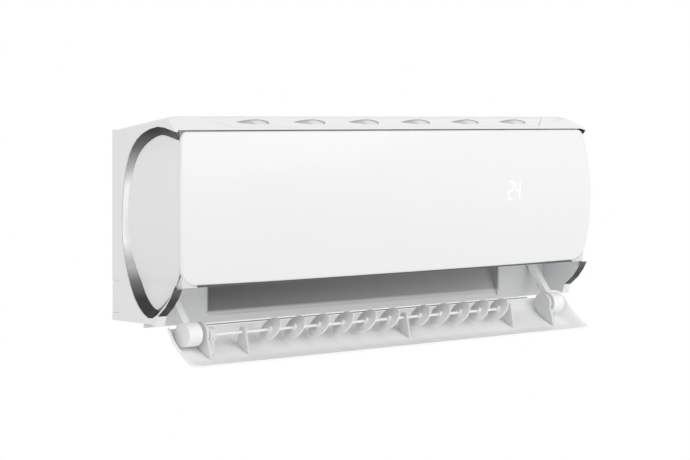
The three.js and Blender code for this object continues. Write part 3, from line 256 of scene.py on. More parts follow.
def casing_end(y, z):
    """Half length of the casing's end, whose upper edge rounds more and more up to the ridge."""
    share = min(1.0, max(0.0, -(y + CORNER_START) / (RIDGE_DEPTH - CORNER_START)))
    radius = CORNER_LEAST + (CORNER_MOST - CORNER_LEAST) * share
    low = REAR_HEIGHT + CORNER_START * ROOF_RISE - CORNER_LEAST
    high = HOUSING_HEIGHT - CORNER_MOST
    up = min(radius, max(0.0, z - (low + (high - low) * share)))
    return HOUSING_HALF - radius + math.sqrt(radius * radius - up * up)


def sheet_mesh(sheets, us, vs):
    """Vertices and faces of two grids of points that are joined round their rims."""
    verts, faces = [], []
    row, size = len(vs), len(us) * len(vs)
    for sheet in sheets:
        verts += [sheet(u, v) for u in us for v in vs]
    for side in range(len(sheets)):
        o = side * size
        for i in range(len(us) - 1):
            for j in range(row - 1):
                quad = [o + i * row + j, o + (i + 1) * row + j]
                quad += [o + (i + 1) * row + j + 1, o + i * row + j + 1]
                faces.append(quad if side == 0 else quad[::-1])
    edge = [i * row for i in range(len(us))]
    edge += [(len(us) - 1) * row + j for j in range(1, row)]
    edge += [i * row + row - 1 for i in range(len(us) - 2, -1, -1)]
    edge += [j for j in range(row - 2, 0, -1)]
    for a, b in zip(edge, edge[1:] + edge[:1]):
        faces.append([b, a, a + size, b + size])
    return verts, faces


def piece(name, verts, faces, material, body, slot, replaces=()):
    """An object of these faces that rides on a body and may stand for CAD nodes."""
    mesh = bpy.data.meshes.new(name)
    mesh.from_pydata([tuple(v) for v in verts], [], faces)
    bm = bmesh.new()
    bm.from_mesh(mesh)
    bmesh.ops.remove_doubles(bm, verts=bm.verts, dist=1e-6)
    bmesh.ops.recalc_face_normals(bm, faces=bm.faces)
    bm.to_mesh(mesh)
    bm.free()
    mesh.shade_smooth()
    mesh.set_sharp_from_angle(angle=SHARP_ANGLE)
    mesh.materials.append(material)
    obj = bpy.data.objects.new(name, mesh)
    bpy.context.scene.collection.objects.link(obj)
    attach(obj, body)
    if replaces:
        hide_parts(*replaces)
    return obj


def soften(obj, width=0.0006, segments=2, angle=40.0):
    """Rounds the crisp edges a little."""
    bevel = obj.modifiers.new("soft edges", "BEVEL")
    bevel.width = width
    bevel.segments = segments
    bevel.limit_method = "ANGLE"
    bevel.angle_limit = math.radians(angle)
    bevel.harden_normals = True


def smooth_faces_group():
    """Geometry nodes that shade a mesh smooth and keep its edges over 30 degrees sharp."""
    made = bpy.data.node_groups.get("Smooth faces")
    if made:
        return made
    group = bpy.data.node_groups.new("Smooth faces", "GeometryNodeTree")
    for way in ("INPUT", "OUTPUT"):
        group.interface.new_socket(name="Geometry", in_out=way, socket_type="NodeSocketGeometry")
    nodes, links = group.nodes, group.links
    faces = nodes.new("GeometryNodeSetShadeSmooth")
    edges = nodes.new("GeometryNodeSetShadeSmooth")
    edges.domain = "EDGE"
    angle = nodes.new("GeometryNodeInputMeshEdgeAngle")
    flat = nodes.new("FunctionNodeCompare")
    flat.operation = "LESS_THAN"
    flat.inputs[1].default_value = math.radians(30)
    links.new(angle.outputs[0], flat.inputs[0])
    links.new(nodes.new("NodeGroupInput").outputs[0], faces.inputs["Geometry"])
    links.new(faces.outputs[0], edges.inputs["Geometry"])
    links.new(flat.outputs[0], edges.inputs["Shade Smooth"])
    links.new(edges.outputs[0], nodes.new("NodeGroupOutput").inputs[0])
    return group


# ------------------------------------------------------------------ finishes


def new_group(name, inputs, outputs):
    """An empty shader group with these sockets, and its input and output nodes."""
    group = bpy.data.node_groups.new(name, "ShaderNodeTree")
    for label, kind, value in inputs:
        socket = group.interface.new_socket(name=label, in_out="INPUT", socket_type=kind)
        socket.default_value = value
    for label, kind in outputs:
        group.interface.new_socket(name=label, in_out="OUTPUT", socket_type=kind)
    return group, group.nodes.new("NodeGroupInput"), group.nodes.new("NodeGroupOutput")


def math_node(tree, operation, *values):
    """The result of a sum on numbers and sockets."""
    node = tree.nodes.new("ShaderNodeMath")
    node.operation = operation
    for i, value in enumerate(values):
        if isinstance(value, (int, float)):
            node.inputs[i].default_value = value
        else:
            tree.links.new(value, node.inputs[i])
    return node.outputs[0]


def mix_node(tree, factor, a, b):
    """A colour between two colours or sockets."""
    node = tree.nodes.new("ShaderNodeMix")
    node.data_type = "RGBA"
    tree.links.new(factor, node.inputs[0])
    for socket, value in ((node.inputs[6], a), (node.inputs[7], b)):
        if isinstance(value, tuple):
            socket.default_value = value
        else:
            tree.links.new(value, socket)
    return node.outputs[2]


def moulded_grain_group():
    """Faint mottling, fine grain and a little variation of gloss, as moulded plastic has."""
    made = bpy.data.node_groups.get("Moulded grain")
    if made:
        return made
    group, given, out = new_group(
        "Moulded grain",
        [
            ("Colour", "NodeSocketColor", (1, 1, 1, 1)),
            ("Roughness", "NodeSocketFloat", 0.3),
            ("Mottle", "NodeSocketFloat", 0.015),
            ("Grain", "NodeSocketFloat", 900.0),
        ],
        [
            ("Colour", "NodeSocketColor"),
            ("Roughness", "NodeSocketFloat"),
            ("Height", "NodeSocketFloat"),
        ],
    )
    nodes, links = group.nodes, group.links
    coords = nodes.new("ShaderNodeTexCoord")
    broad = nodes.new("ShaderNodeTexNoise")
    broad.inputs["Scale"].default_value = 5.0
    broad.inputs["Detail"].default_value = 2.0
    links.new(coords.outputs["Object"], broad.inputs["Vector"])
    fine = nodes.new("ShaderNodeTexNoise")
    fine.inputs["Detail"].default_value = 1.0
    links.new(coords.outputs["Object"], fine.inputs["Vector"])
    links.new(given.outputs["Grain"], fine.inputs["Scale"])
    swing = math_node(group, "SUBTRACT", broad.outputs["Fac"], 0.5)
    shift = math_node(group, "MULTIPLY", swing, given.outputs["Mottle"])
    value = nodes.new("ShaderNodeHueSaturation")
    links.new(given.outputs["Colour"], value.inputs["Color"])
    links.new(math_node(group, "ADD", shift, 1.0), value.inputs["Value"])
    links.new(value.outputs["Color"], out.inputs["Colour"])
    rough = math_node(group, "MULTIPLY", swing, 0.12)
    links.new(math_node(group, "ADD", rough, given.outputs["Roughness"]), out.inputs["Roughness"])
    links.new(fine.outputs["Fac"], out.inputs["Height"])
    return group


def box_mask_group():
    """One within a half length and between two heights, and nothing outside them."""
    made = bpy.data.node_groups.get("Box mask")
    if made:
        return made
    group, given, out = new_group(
        "Box mask",
        [
            ("Half length", "NodeSocketFloat", 0.1),
            ("Floor", "NodeSocketFloat", 0.0),
            ("Ceiling", "NodeSocketFloat", 1.0),
            ("Soft", "NodeSocketFloat", 0.01),
        ],
        [("Mask", "NodeSocketFloat"), ("Along", "NodeSocketFloat")],
    )
    nodes, links = group.nodes, group.links
    coords = nodes.new("ShaderNodeTexCoord")
    split = nodes.new("ShaderNodeSeparateXYZ")
    links.new(coords.outputs["Object"], split.inputs[0])
    side = math_node(group, "ABSOLUTE", split.outputs["X"])
    inside = math_node(group, "SUBTRACT", given.outputs["Half length"], side)
    above = math_node(group, "SUBTRACT", split.outputs["Z"], given.outputs["Floor"])
    below = math_node(group, "SUBTRACT", given.outputs["Ceiling"], split.outputs["Z"])
    nearest = math_node(group, "MINIMUM", math_node(group, "MINIMUM", inside, above), below)
    share = math_node(group, "DIVIDE", nearest, given.outputs["Soft"])
    clamp = nodes.new("ShaderNodeClamp")
    links.new(share, clamp.inputs["Value"])
    links.new(clamp.outputs["Result"], out.inputs["Mask"])
    links.new(split.outputs["X"], out.inputs["Along"])
    return group


def use_group(tree, group, **values):
    """A group's node in a material, with its own values or links."""
    node = tree.nodes.new("ShaderNodeGroup")
    node.node_tree = group
    for label, value in values.items():
        socket = node.inputs[label.replace("_", " ")]
        if isinstance(value, bpy.types.NodeSocket):
            tree.links.new(value, socket)
        else:
            socket.default_value = value
    return node


def bare_material(name):
    """A new material, its node tree and its Principled shader."""
    material = bpy.data.materials.new(name)
    material.use_nodes = True
    tree = material.node_tree
    return material, tree, tree.nodes["Principled BSDF"]


def moulded(
    name, colour, roughness, mottle=0.015, grain=900.0, bump=0.02, coat=0.0, colour_and_painted_shade_of=None
):
    """Moulded plastic: the grain group, a fine bump and, where it is glossy, a clear skin; a given
    colour function may add painted shade and painted light.
    """
    material, tree, shader = bare_material(name)
    base = (*colour, 1.0)
    grain_node = use_group(
        tree,
        moulded_grain_group(),
        Colour=colour_and_painted_shade_of(tree, base) if colour_and_painted_shade_of else base,
        Roughness=roughness,
        Mottle=mottle,
        Grain=grain,
    )
    tree.links.new(grain_node.outputs["Colour"], shader.inputs["Base Color"])
    tree.links.new(grain_node.outputs["Roughness"], shader.inputs["Roughness"])
    bump_node = tree.nodes.new("ShaderNodeBump")
    bump_node.inputs["Strength"].default_value = bump
    bump_node.inputs["Distance"].default_value = 0.0002
    tree.links.new(grain_node.outputs["Height"], bump_node.inputs["Height"])
    tree.links.new(bump_node.outputs["Normal"], shader.inputs["Normal"])
    shader.inputs["Coat Weight"].default_value = coat
    shader.inputs["Coat Roughness"].default_value = 0.12
    shader.inputs["Specular IOR Level"].default_value = 0.4
    return material


def metal(name, colour, roughness, streak=140.0):
    """Metal with a drawn or plated surface: long streaks that vary its gloss."""
    material, tree, shader = bare_material(name)
    coords = tree.nodes.new("ShaderNodeTexCoord")
    mapping = tree.nodes.new("ShaderNodeMapping")
    mapping.inputs["Scale"].default_value = (0.06, 1.0, 1.0)
    noise = tree.nodes.new("ShaderNodeTexNoise")
    noise.inputs["Scale"].default_value = streak
    tree.links.new(coords.outputs["Object"], mapping.inputs["Vector"])
    tree.links.new(mapping.outputs["Vector"], noise.inputs["Vector"])
    swing = math_node(tree, "SUBTRACT", noise.outputs["Fac"], 0.5)
    rough = math_node(tree, "ADD", math_node(tree, "MULTIPLY", swing, 0.1), roughness)
    tree.links.new(rough, shader.inputs["Roughness"])
    shade = mix_node(
        tree, noise.outputs["Fac"], (*[c * 0.92 for c in colour], 1.0), (*colour, 1.0)
    )
    tree.links.new(shade, shader.inputs["Base Color"])
    shader.inputs["Metallic"].default_value = 1.0
    return material


BAND_PAINTED_HIGHLIGHT = 0.008  # height of the painted highlight on the plating
BAND_REACH = 0.15  # from there to where the ramp ends
# painted reflection: bright at mid-height, falling to painted shade at the band's ends; these stops
# set colour and metalness
BAND_PAINTED_REFLECTION_STOPS = ((0.29, 0.93), (0.45, 0.58), (0.69, 0.17), (0.87, 0.05))
DUCT_HALF = 0.3395
DUCT_FLOOR = -0.154
DUCT_TOP = 0.2
# painted shade in the scoops, by share of their depth: darkest on their steep walls
SCOOP_SHADE_STOPS = ((0.06, 0.0), (0.35, 0.85), (0.8, 0.55), (1.0, 0.12))


def grey_ramp(tree, stops):
    """A ramp node with these (place, brightness) stops."""
    ramp = tree.nodes.new("ShaderNodeValToRGB")
    for i, (at, value) in enumerate(stops):
        stop = ramp.color_ramp.elements[i] if i < 2 else ramp.color_ramp.elements.new(at)
        stop.position = at
        stop.color = (value, value, value, 1)
    return ramp


def band_painted_reflection_material():
    """Plating with painted reflection: a painted highlight at mid-height that falls to painted
    shade towards the band's two ends.
    """
    material, tree, shader = bare_material("Bright band")
    coords = tree.nodes.new("ShaderNodeTexCoord")
    split = tree.nodes.new("ShaderNodeSeparateXYZ")
    tree.links.new(coords.outputs["Object"], split.inputs[0])
    above = math_node(tree, "SUBTRACT", split.outputs["Z"], BAND_PAINTED_HIGHLIGHT)
    away = math_node(tree, "ABSOLUTE", above)
    ramp = grey_ramp(tree, BAND_PAINTED_REFLECTION_STOPS)
    for stop in ramp.color_ramp.elements:
        r, g, b, _ = stop.color
        stop.color = (r, g, b * 1.01, 1)  # a trace of blue
    tree.links.new(math_node(tree, "DIVIDE", away, BAND_REACH), ramp.inputs["Fac"])
    # the ramp of painted highlight and painted shade drives both the base colour and the metalness
    tree.links.new(ramp.outputs["Color"], shader.inputs["Base Color"])
    tree.links.new(ramp.outputs["Color"], shader.inputs["Metallic"])
    noise = tree.nodes.new("ShaderNodeTexNoise")
    noise.inputs["Scale"].default_value = 60.0
    tree.links.new(coords.outputs["Object"], noise.inputs["Vector"])
    rough = math_node(tree, "ADD", math_node(tree, "MULTIPLY", noise.outputs["Fac"], 0.06), 0.16)
    tree.links.new(rough, shader.inputs["Roughness"])
    shader.inputs["Specular IOR Level"].default_value = 0.12
    return material


def outlet_colour_and_painted_shade(tree, base):
    """Grey inside the duct, partly the duct's own grey and partly painted shade, with painted light
    making it paler towards its right end; pale on the wings and the lip.
    """
    mask = use_group(
        tree,
        box_mask_group(),
        Half_length=DUCT_HALF,
        Floor=DUCT_FLOOR,
        Ceiling=DUCT_TOP,
        Soft=0.004,
    )
    duct_grey_and_shade = tuple(bpy.context.scene.wall_unit_finish.duct)
    share = tree.nodes.new("ShaderNodeMapRange")
    share.inputs["From Min"].default_value = -0.335
    share.inputs["From Max"].default_value = 0.335
    tree.links.new(mask.outputs["Along"], share.inputs["Value"])
    # painted light: the duct grows paler towards its right end
    pale = (*[min(1.0, c * 1.9) for c in duct_grey_and_shade], 1.0)
    duct = mix_node(tree, share.outputs["Result"], (*duct_grey_and_shade, 1.0), pale)
    return mix_node(tree, mask.outputs["Mask"], base, duct)


def fascia_painted_shade(tree, base):
    """Painted shade down the walls of the scoops, by depth under the roof's slope."""
    (y0, z0), (y1, z1) = SLOPE_TOP, SLOPE_FOOT
    length = math.hypot(y1 - y0, z1 - z0)
    coords = tree.nodes.new("ShaderNodeTexCoord")
    offset = tree.nodes.new("ShaderNodeVectorMath")
    offset.operation = "SUBTRACT"
    offset.inputs[1].default_value = place(y0, z0, 0.0)
    tree.links.new(coords.outputs["Object"], offset.inputs[0])
    below = tree.nodes.new("ShaderNodeVectorMath")
    below.operation = "DOT_PRODUCT"
    below.inputs[1].default_value = (0.0, (z0 - z1) / length, (y1 - y0) / length)
    tree.links.new(offset.outputs["Vector"], below.inputs[0])
    ramp = grey_ramp(tree, SCOOP_SHADE_STOPS)
    ramp.color_ramp.interpolation = "EASE"
    share = math_node(tree, "DIVIDE", below.outputs["Value"], SCOOP_DEPTH)
    tree.links.new(share, ramp.inputs["Fac"])
    # darkens the colour towards a fifth of it as painted shade
    return mix_node(tree, ramp.outputs["Color"], base, (*[c * 0.22 for c in base[:3]], 1.0))


def lit_material(colour):
    """Segments of a lit display behind the white panel."""
    material = moulded("Lit digits", colour, 0.4, mottle=0.02)
    shader = material.node_tree.nodes["Principled BSDF"]
    shader.inputs["Emission Color"].default_value = (*colour, 1.0)
    shader.inputs["Emission Strength"].default_value = 0.22
    return material


FINISHES = {}


def finishes():
    """Every material of the unit, built once."""
    if FINISHES:
        return FINISHES
    f = bpy.context.scene.wall_unit_finish
    white, soft = tuple(f.white), tuple(f.soft_white)
    FINISHES.update(
        {
            "white_housing": moulded("White gloss moulding", white, 0.34, coat=0.25),
            "white_louver": moulded("White louver moulding", tuple(f.louver), 0.42, mottle=0.02),
            "soft_white_moulding": moulded(
                "Soft white moulding", soft, 0.55, mottle=0.03, bump=0.05
            ),
            "outlet_moulding": moulded(
                "Outlet moulding", soft, 0.5, mottle=0.03, bump=0.04, colour_and_painted_shade_of=outlet_colour_and_painted_shade
            ),
            "grey_moulding": moulded(
                "Grey moulding", (0.34, 0.35, 0.36), 0.6, mottle=0.05, bump=0.06
            ),
            "bright_band": band_painted_reflection_material(),
            "galvanised_sheet": metal("Zinc-coated sheet", (0.6, 0.62, 0.63), 0.42),
            "coil_fins": metal("Fin stock", (0.7, 0.72, 0.74), 0.35, streak=700.0),
            "copper_tube": metal("Copper tube", (0.72, 0.4, 0.25), 0.3),
            "flare_brass": metal("Turned brass", (0.78, 0.6, 0.28), 0.28),
            "black_plastic": moulded("Black moulding", (0.025, 0.025, 0.027), 0.5, mottle=0.2),
            "rubber_black": moulded("Black rubber", (0.02, 0.02, 0.021), 0.8, mottle=0.3, bump=0.2),
            "circuit_board": moulded(
                "Green board", (0.04, 0.16, 0.08), 0.45, mottle=0.25, grain=300.0
            ),
            "filter_mesh": moulded(
                "Woven mesh", (0.09, 0.1, 0.11), 0.8, mottle=0.3, grain=1500.0, bump=0.5
            ),
            "scooped_fascia": moulded(
                "Scooped fascia moulding", white, 0.34, coat=0.25, colour_and_painted_shade_of=fascia_painted_shade
            ),
            "digits": lit_material(tuple(f.digits)),
        }
    )
    return FINISHES


# ------------------------------------------------------------------ pieces


def steps_from(edges, half, count):
    """Steps from -1 to 1: one at each given distance from each end, and even ones between."""
    outer = [1 - d / half for d in edges]
    limit = outer[-1]
    middle = [(-limit + 2 * limit * i / count) for i in range(1, count)]
    return [-v for v in outer] + middle + outer[::-1]


def panel_sheet(p, depth, roll):
    """The panel's face at a depth behind its front, with its edges rolled by a radius."""
    centre, reach = (p.bottom + p.top) / 2, (p.top - p.bottom) / 2

    def at(u, v):
        z = centre + v * reach
        up = reach * (1 - abs(v))
        half = end_at(z, p) - round_away(up, p.top_corner if v > 0 else p.corner)
        x = u * half
        away = max(round_away(half * (1 - abs(u)), roll), round_away(up, roll)) if roll else 0.0
        return place(front_at(x, z, p) + depth + away, z, x)

    return at


class WALLUNIT_OT_panel(bpy.types.Operator):
    """Build the front panel: a barrelled sheet with rolled edges and round corners"""

    bl_idname = "wall_unit.panel"
    bl_label = "Front panel"

    def execute(self, context):
        p = context.scene.wall_unit_panel
        arc = [p.roll * (1 - math.cos(math.radians(a))) for a in range(0, 91, 15)]
        corner = [p.corner * (1 - math.cos(math.radians(a))) for a in range(30, 91, 4)]
        us = steps_from(arc, p.end_flat + p.end_crown, 90)
        vs = steps_from(arc + [c for c in corner if c > p.roll], (p.top - p.bottom) / 2, 30)
        sheets = (panel_sheet(p, 0.0, p.roll), panel_sheet(p, p.rim, 0.0))
        verts, faces = sheet_mesh(sheets, us, vs)
        piece(
            "panel_face",
            verts,
            faces,
            finishes()["white_housing"],
            "front_panel",
            "white_housing",
            ["front_panel"],
        )
        return {"FINISHED"}


BAND_KNOTS = [
    (-0.158, 0.058),
    (-0.1345, 0.030),
    (-0.096, 0.0085),
    (-0.057, 0.038),
    (-0.031, 0.100),
    (-0.0244, 0.160),
    (-0.032, 0.228),
    (-0.055, 0.277),
    (-0.104, 0.3035),
    (-0.160, 0.296),
]


def beside(line, offset):
    """The line moved sideways, to the left of its own direction."""
    along = np.gradient(line, axis=0)
    along /= np.linalg.norm(along, axis=1)[:, None]
    return line + np.stack([-along[:, 1], along[:, 0]], axis=1) * offset


def band_line(inset, count):
    """The band's line from its lower front end round the back to its upper front end."""
    return beside(spline(BAND_KNOTS, count), inset)


LOWER_FACE = [
    (-0.1183, 0.0138),
    (-0.1274, 0.0212),
    (-0.1362, 0.0281),
    (-0.1424, 0.0355),
    (-0.1485, 0.0428),
    (-0.1566, 0.0563),
]
CHEEK_CORNER = [(-0.1385, 0.0478), (-0.1640, 0.0925)]
CHEEK_STATION = 0.47  # where the cheek meets the panel
CHEEK_BLEND = 0.01  # height over which the corner's slant gives way to the panel's line
CHEEK_STEPS = 120
CHEEK_SKIN = 0.0022
BAND_FRONT = -0.1555  # depth at which the cheek and the band's inner side stop
BAND_FOOT = -0.1545  # depth at which the band's outer side stops at its lower end
BAND_SHOULDER = 0.2  # height over which the outer side runs on to its upper end
BAND_SKIN = 0.002
RETURN_STEPS = 40
RETURN_LIFTS = (0.0009, 0.0002)  # outer and inner side, from the casing's face


def cheek_edges(p, width, count):
    """Matching points of a cheek's rear line and of its front line, bottom to top."""
    rear = band_line(width + GAP, 400)
    low = next(i for i, (y, z) in enumerate(rear) if y > CHEEK_CORNER[0][0])
    high = len(rear) - next(i for i, (y, z) in enumerate(rear[::-1]) if y > BAND_FRONT)
    rear = rear[low:high]
    keep = np.linspace(0, len(rear) - 1, count + 1)
    rear = np.stack([np.interp(keep, range(len(rear)), rear[:, k]) for k in (0, 1)], axis=1)
    top = rear[-1][1]
    (y0, z0), (y1, z1) = CHEEK_CORNER
    front = []
    for z in [z0 + (top - z0) * i / count for i in range(count + 1)]:
        face = front_at(CHEEK_STATION, z, p) + p.rim + GAP
        slant = y0 + (y1 - y0) * (z - z0) / (z1 - z0)
        front.append((max(face, slant) if z < z1 + CHEEK_BLEND else face, z))
    return rear, np.array(front)


class WALLUNIT_OT_ends(bpy.types.Operator):
    """Build the two domed cheeks and the bright band round each"""

    bl_idname = "wall_unit.ends"
    bl_label = "Ends"

    def execute(self, context):
        p, b = context.scene.wall_unit_panel, context.scene.wall_unit_band
        for side, sign in (("left", -1), ("right", 1)):
            self.cheek(p, b, side, sign)
            self.band(p, b, side, sign)
            self.band_return(b, side, sign)
        return {"FINISHED"}

    def band_return(self, b, side, sign):
        """The band's turned edge, which covers the end's lower front face."""

        def skin(lift):
            line = beside(spline(LOWER_FACE, RETURN_STEPS), lift)

            def at(u, v):
                y, z = line[round(v * RETURN_STEPS)]
                return place(y, z, sign * (b.return_inner + (b.return_outer - b.return_inner) * u))

            return at

        us = [i / 4 for i in range(5)]
        vs = [i / RETURN_STEPS for i in range(RETURN_STEPS + 1)]
        verts, faces = sheet_mesh([skin(lift) for lift in RETURN_LIFTS], us, vs)
        piece(
            f"band_return_{side}",
            verts,
            faces,
            finishes()["bright_band"],
            "housing",
            "bright_band",
        )

    def cheek(self, p, b, side, sign):
        """The domed cheek inside the band."""
        count = CHEEK_STEPS
        rear, front = cheek_edges(p, b.width, count)

        def skin(drop):
            def at(u, v):
                i = round(v * count)
                y, z = front[i] + (rear[i] - front[i]) * u
                return place(y, z, sign * (end_at(z, p) - drop))

            return at

        us = [i / 24 for i in range(25)]
        vs = [i / count for i in range(count + 1)]
        verts, faces = sheet_mesh((skin(0.0), skin(CHEEK_SKIN)), us, vs)
        piece(
            f"cheek_{side}",
            verts,
            faces,
            finishes()["white_housing"],
            "housing",
            "white_housing",
            [f"end_cheek_{side}"],
        )

    def band(self, p, b, side, sign):
        """The bright band between the casing's end and the cheek."""
        outer, inner = band_line(GAP, b.steps), band_line(b.width, b.steps)
        keep = [
            i
            for i in range(b.steps + 1)
            if (outer[i][0] > BAND_FOOT or outer[i][1] > BAND_SHOULDER) and inner[i][0] > BAND_FRONT
        ]

        def skin(drop):
            def at(u, v):
                i = keep[round(v * (len(keep) - 1))]
                y, z = outer[i] + (inner[i] - outer[i]) * u
                low = end_at(inner[i][1], p)
                rim = casing_end(*outer[i]) - b.below
                x = rim + (low - rim) * u
                return place(y, z, sign * (x - drop))

            return at

        us = [i / 6 for i in range(7)]
        vs = [i / (len(keep) - 1) for i in range(len(keep))]
        verts, faces = sheet_mesh((skin(0.0), skin(BAND_SKIN)), us, vs)
        band = piece(
            f"band_{side}",
            verts,
            faces,
            finishes()["bright_band"],
            "housing",
            "bright_band",
            [f"side_band_{side}"],
        )
        soften(band, 0.0004)


LOUVER_STEPS = 200
LOUVER_MIDDLE = spline(
    [
        (-0.0866, -0.0091),
        (-0.105, -0.0356),
        (-0.142, -0.0568),
        (-0.1663, -0.0622),
        (-0.1833, -0.0623),
    ],
    LOUVER_STEPS,
)
LOUVER_END = spline(
    [
        (-0.112, -0.003),
        (-0.129, -0.025),
        (-0.147, -0.042),
        (-0.164, -0.0535),
        (-0.181, -0.062),
    ],
    LOUVER_STEPS,
)
LOUVER_SPAN = (0.03, 0.978)  # the shares of the section's line that the blade keeps
LOUVER_SLACK = (0.00002, 0.00003)  # how far the blade stays inside its lower and upper side
FRONT_ROUND, FRONT_DRAW = 0.14, 0.013  # share of the section, and how far its ends draw in
REAR_ROUND, REAR_DRAW = 0.16, 0.009
ROUND_POWER = 2.4


def louver_sheet(s, height):
    """The louver's surface at a height above its lower side."""

    def at(u, v):
        edge = max(0.0, v - (1 - FRONT_ROUND)) / FRONT_ROUND
        rear = max(0.0, REAR_ROUND - v) / REAR_ROUND
        half = s.half - FRONT_DRAW * edge**ROUND_POWER - REAR_DRAW * rear**ROUND_POWER
        x = u * half
        w = smooth(s.half - s.spoon, s.half, abs(x))
        i = v * LOUVER_STEPS
        k = min(int(i), LOUVER_STEPS - 1)
        points = []
        for line in (LOUVER_MIDDLE, LOUVER_END):
            points.append((line[k] + (line[k + 1] - line[k]) * (i - k), line[k + 1] - line[k]))
        (p0, d0), (p1, d1) = points
        p = p0 + (p1 - p0) * w
        d = d0 / np.linalg.norm(d0) * (1 - w) + d1 / np.linalg.norm(d1) * w
        d /= np.linalg.norm(d)
        return place(p[0] + d[1] * height, p[1] - d[0] * height, x)

    return at


class WALLUNIT_OT_louver(bpy.types.Operator):
    """Build the long louver with its turned-up ends"""

    bl_idname = "wall_unit.louver"
    bl_label = "Louver"

    def execute(self, context):
        s = context.scene.wall_unit_louver
        ends = [s.spoon * i / 16 for i in range(17)]
        us = steps_from(ends, s.half, 40)
        first, last = LOUVER_SPAN
        vs = [first + (last - first) * i / 60 for i in range(61)]
        low, high = LOUVER_SLACK
        sheets = (louver_sheet(s, low), louver_sheet(s, s.skin - high))
        verts, faces = sheet_mesh(sheets, us, vs)
        made = piece(
            "louver_blade",
            verts,
            faces,
            finishes()["white_louver"],
            "louver",
            "white_louver",
            ["louver"],
        )
        soften(made, 0.0011, 3)
        return {"FINISHED"}


SHAFT = (-0.130, -0.020)
VANE_ROWS = ((-0.260, 0.0524, 6), (0.075, 0.0483, 5))  # first station, pitch and count
VANES = [first + pitch * k for first, pitch, count in VANE_ROWS for k in range(count)]
SHAFT_SPAN = (-0.3776, 0.299)
SHAFT_RADIUS = 0.0026


def turned(profile, around, matrix, verts, faces):
    """Adds a body of revolution: (station, radius) pairs turned round the X axis."""
    start = len(verts)
    for station, radius in profile:
        for i in range(around):
            a = 2 * math.pi * i / around
            verts.append(matrix @ Vector((station, radius * math.cos(a), radius * math.sin(a))))
    for j in range(len(profile) - 1):
        for i in range(around):
            a, b = start + j * around + i, start + j * around + (i + 1) % around
            faces.append([a, b, b + around, a + around])
    faces.append([start + i for i in range(around)][::-1])
    faces.append([start + (len(profile) - 1) * around + i for i in range(around)])


class WALLUNIT_OT_vanes(bpy.types.Operator):
    """Build the vane shaft and its leaning round vanes"""

    bl_idname = "wall_unit.vanes"
    bl_label = "Vanes"

    def execute(self, context):
        s = context.scene.wall_unit_louver
        verts, faces = [], []
        centre = place(*SHAFT, 0.0)
        rod = [(SHAFT_SPAN[0], SHAFT_RADIUS), (SHAFT_SPAN[1], SHAFT_RADIUS)]
        turned(rod, 24, Matrix.Translation(centre), verts, faces)
        t = s.disc_skin / 2  # the profiles are (station, radius) pairs from one face outwards
        rim = [(-t, s.disc - 0.0009), (-t + 0.0003, s.disc - 0.0003), (-0.3 * t, s.disc)]
        hub = [(-0.006, 0.0046), (-0.0055, 0.0052), (-t - 0.0001, 0.0056), (-t, 0.0062)]
        profile = hub + rim
        profile += [(-a, r) for a, r in profile[::-1]]
        tilt = Euler((0.0, s.lean, 0.0)).to_matrix().to_4x4()
        for x in VANES:
            where = Matrix.Translation((x, centre[1], centre[2])) @ tilt
            turned(profile, 56, where, verts, faces)
        piece(
            "vane_set",
            verts,
            faces,
            finishes()["white_louver"],
            "vanes",
            "white_louver",
            ["vane_shaft"],
        )
        return {"FINISHED"}


SCOOPS = [-0.303 + 0.120 * k for k in range(6)]
SCOOP_HALF = 0.036
SCOOP_WIDTH = 0.0088
SCOOP_LINE = -0.1335
SCOOP_DEPTH = 0.0023
SCOOP_WALL = 0.0016  # width of a scoop's side wall
SCOOP_ROUND = 0.5  # where the taper meets the round end
SCOOP_TAPER = 1.6
SCOOP_POINT = 0.3  # depth at the point, as a share
FASCIA_SPAN = (0.03, 0.79)  # shares of the slope, from the ridge down
FASCIA_HALF = (0.392, 0.352)  # half length at the ridge and at the foot
FASCIA_SKIN = 0.0024


def scoop_depth(x, y):
    """Depth of the scoops at a point, as a share: teardrops with their point to the left."""
    deepest = 0.0
    for centre in SCOOPS:
        a = (x - centre) / SCOOP_HALF
        if not -1 < a < 1:
            continue
        if a > SCOOP_ROUND:
            half = SCOOP_WIDTH * math.sqrt(1 - ((a - SCOOP_ROUND) / (1 - SCOOP_ROUND)) ** 2)
        else:
            half = SCOOP_WIDTH * (1 - ((SCOOP_ROUND - a) / (1 + SCOOP_ROUND)) ** SCOOP_TAPER)
        inside = (half - abs(y - SCOOP_LINE)) / SCOOP_WALL
        fall = SCOOP_POINT + (1 - SCOOP_POINT) * smooth(-1, 0.6, a)
        deepest = max(deepest, smooth(0.0, 1.0, inside) * fall)
    return deepest


class WALLUNIT_OT_fascia(bpy.types.Operator):
    """Build the roof's front fascia with its row of scoops"""

    bl_idname = "wall_unit.fascia"
    bl_label = "Roof fascia"

    def execute(self, context):
        (y0, z0), (y1, z1) = SLOPE_TOP, SLOPE_FOOT
        length = math.hypot(y1 - y0, z1 - z0)
        ny, nz = (z1 - z0) / length, -(y1 - y0) / length
        (first, last), (ridge, foot) = FASCIA_SPAN, FASCIA_HALF

        def skin(depth, scooped):
            def at(u, v):
                t = first + (last - first) * v
                x = u * (ridge + (foot - ridge) * v)
                y, z = y0 + (y1 - y0) * t, z0 + (z1 - z0) * t
                d = depth + (SCOOP_DEPTH * scoop_depth(x, y) if scooped else 0.0)
                return place(y - ny * d, z - nz * d, x)

            return at

        us = [-1 + 2 * i / 520 for i in range(521)]
        vs = [i / 36 for i in range(37)]
        verts, faces = sheet_mesh((skin(0.0, True), skin(FASCIA_SKIN, False)), us, vs)
        piece(
            "roof_fascia",
            verts,
            faces,
            finishes()["scooped_fascia"],
            "housing",
            "white_housing",
            ["top_fascia"],
        )
        return {"FINISHED"}


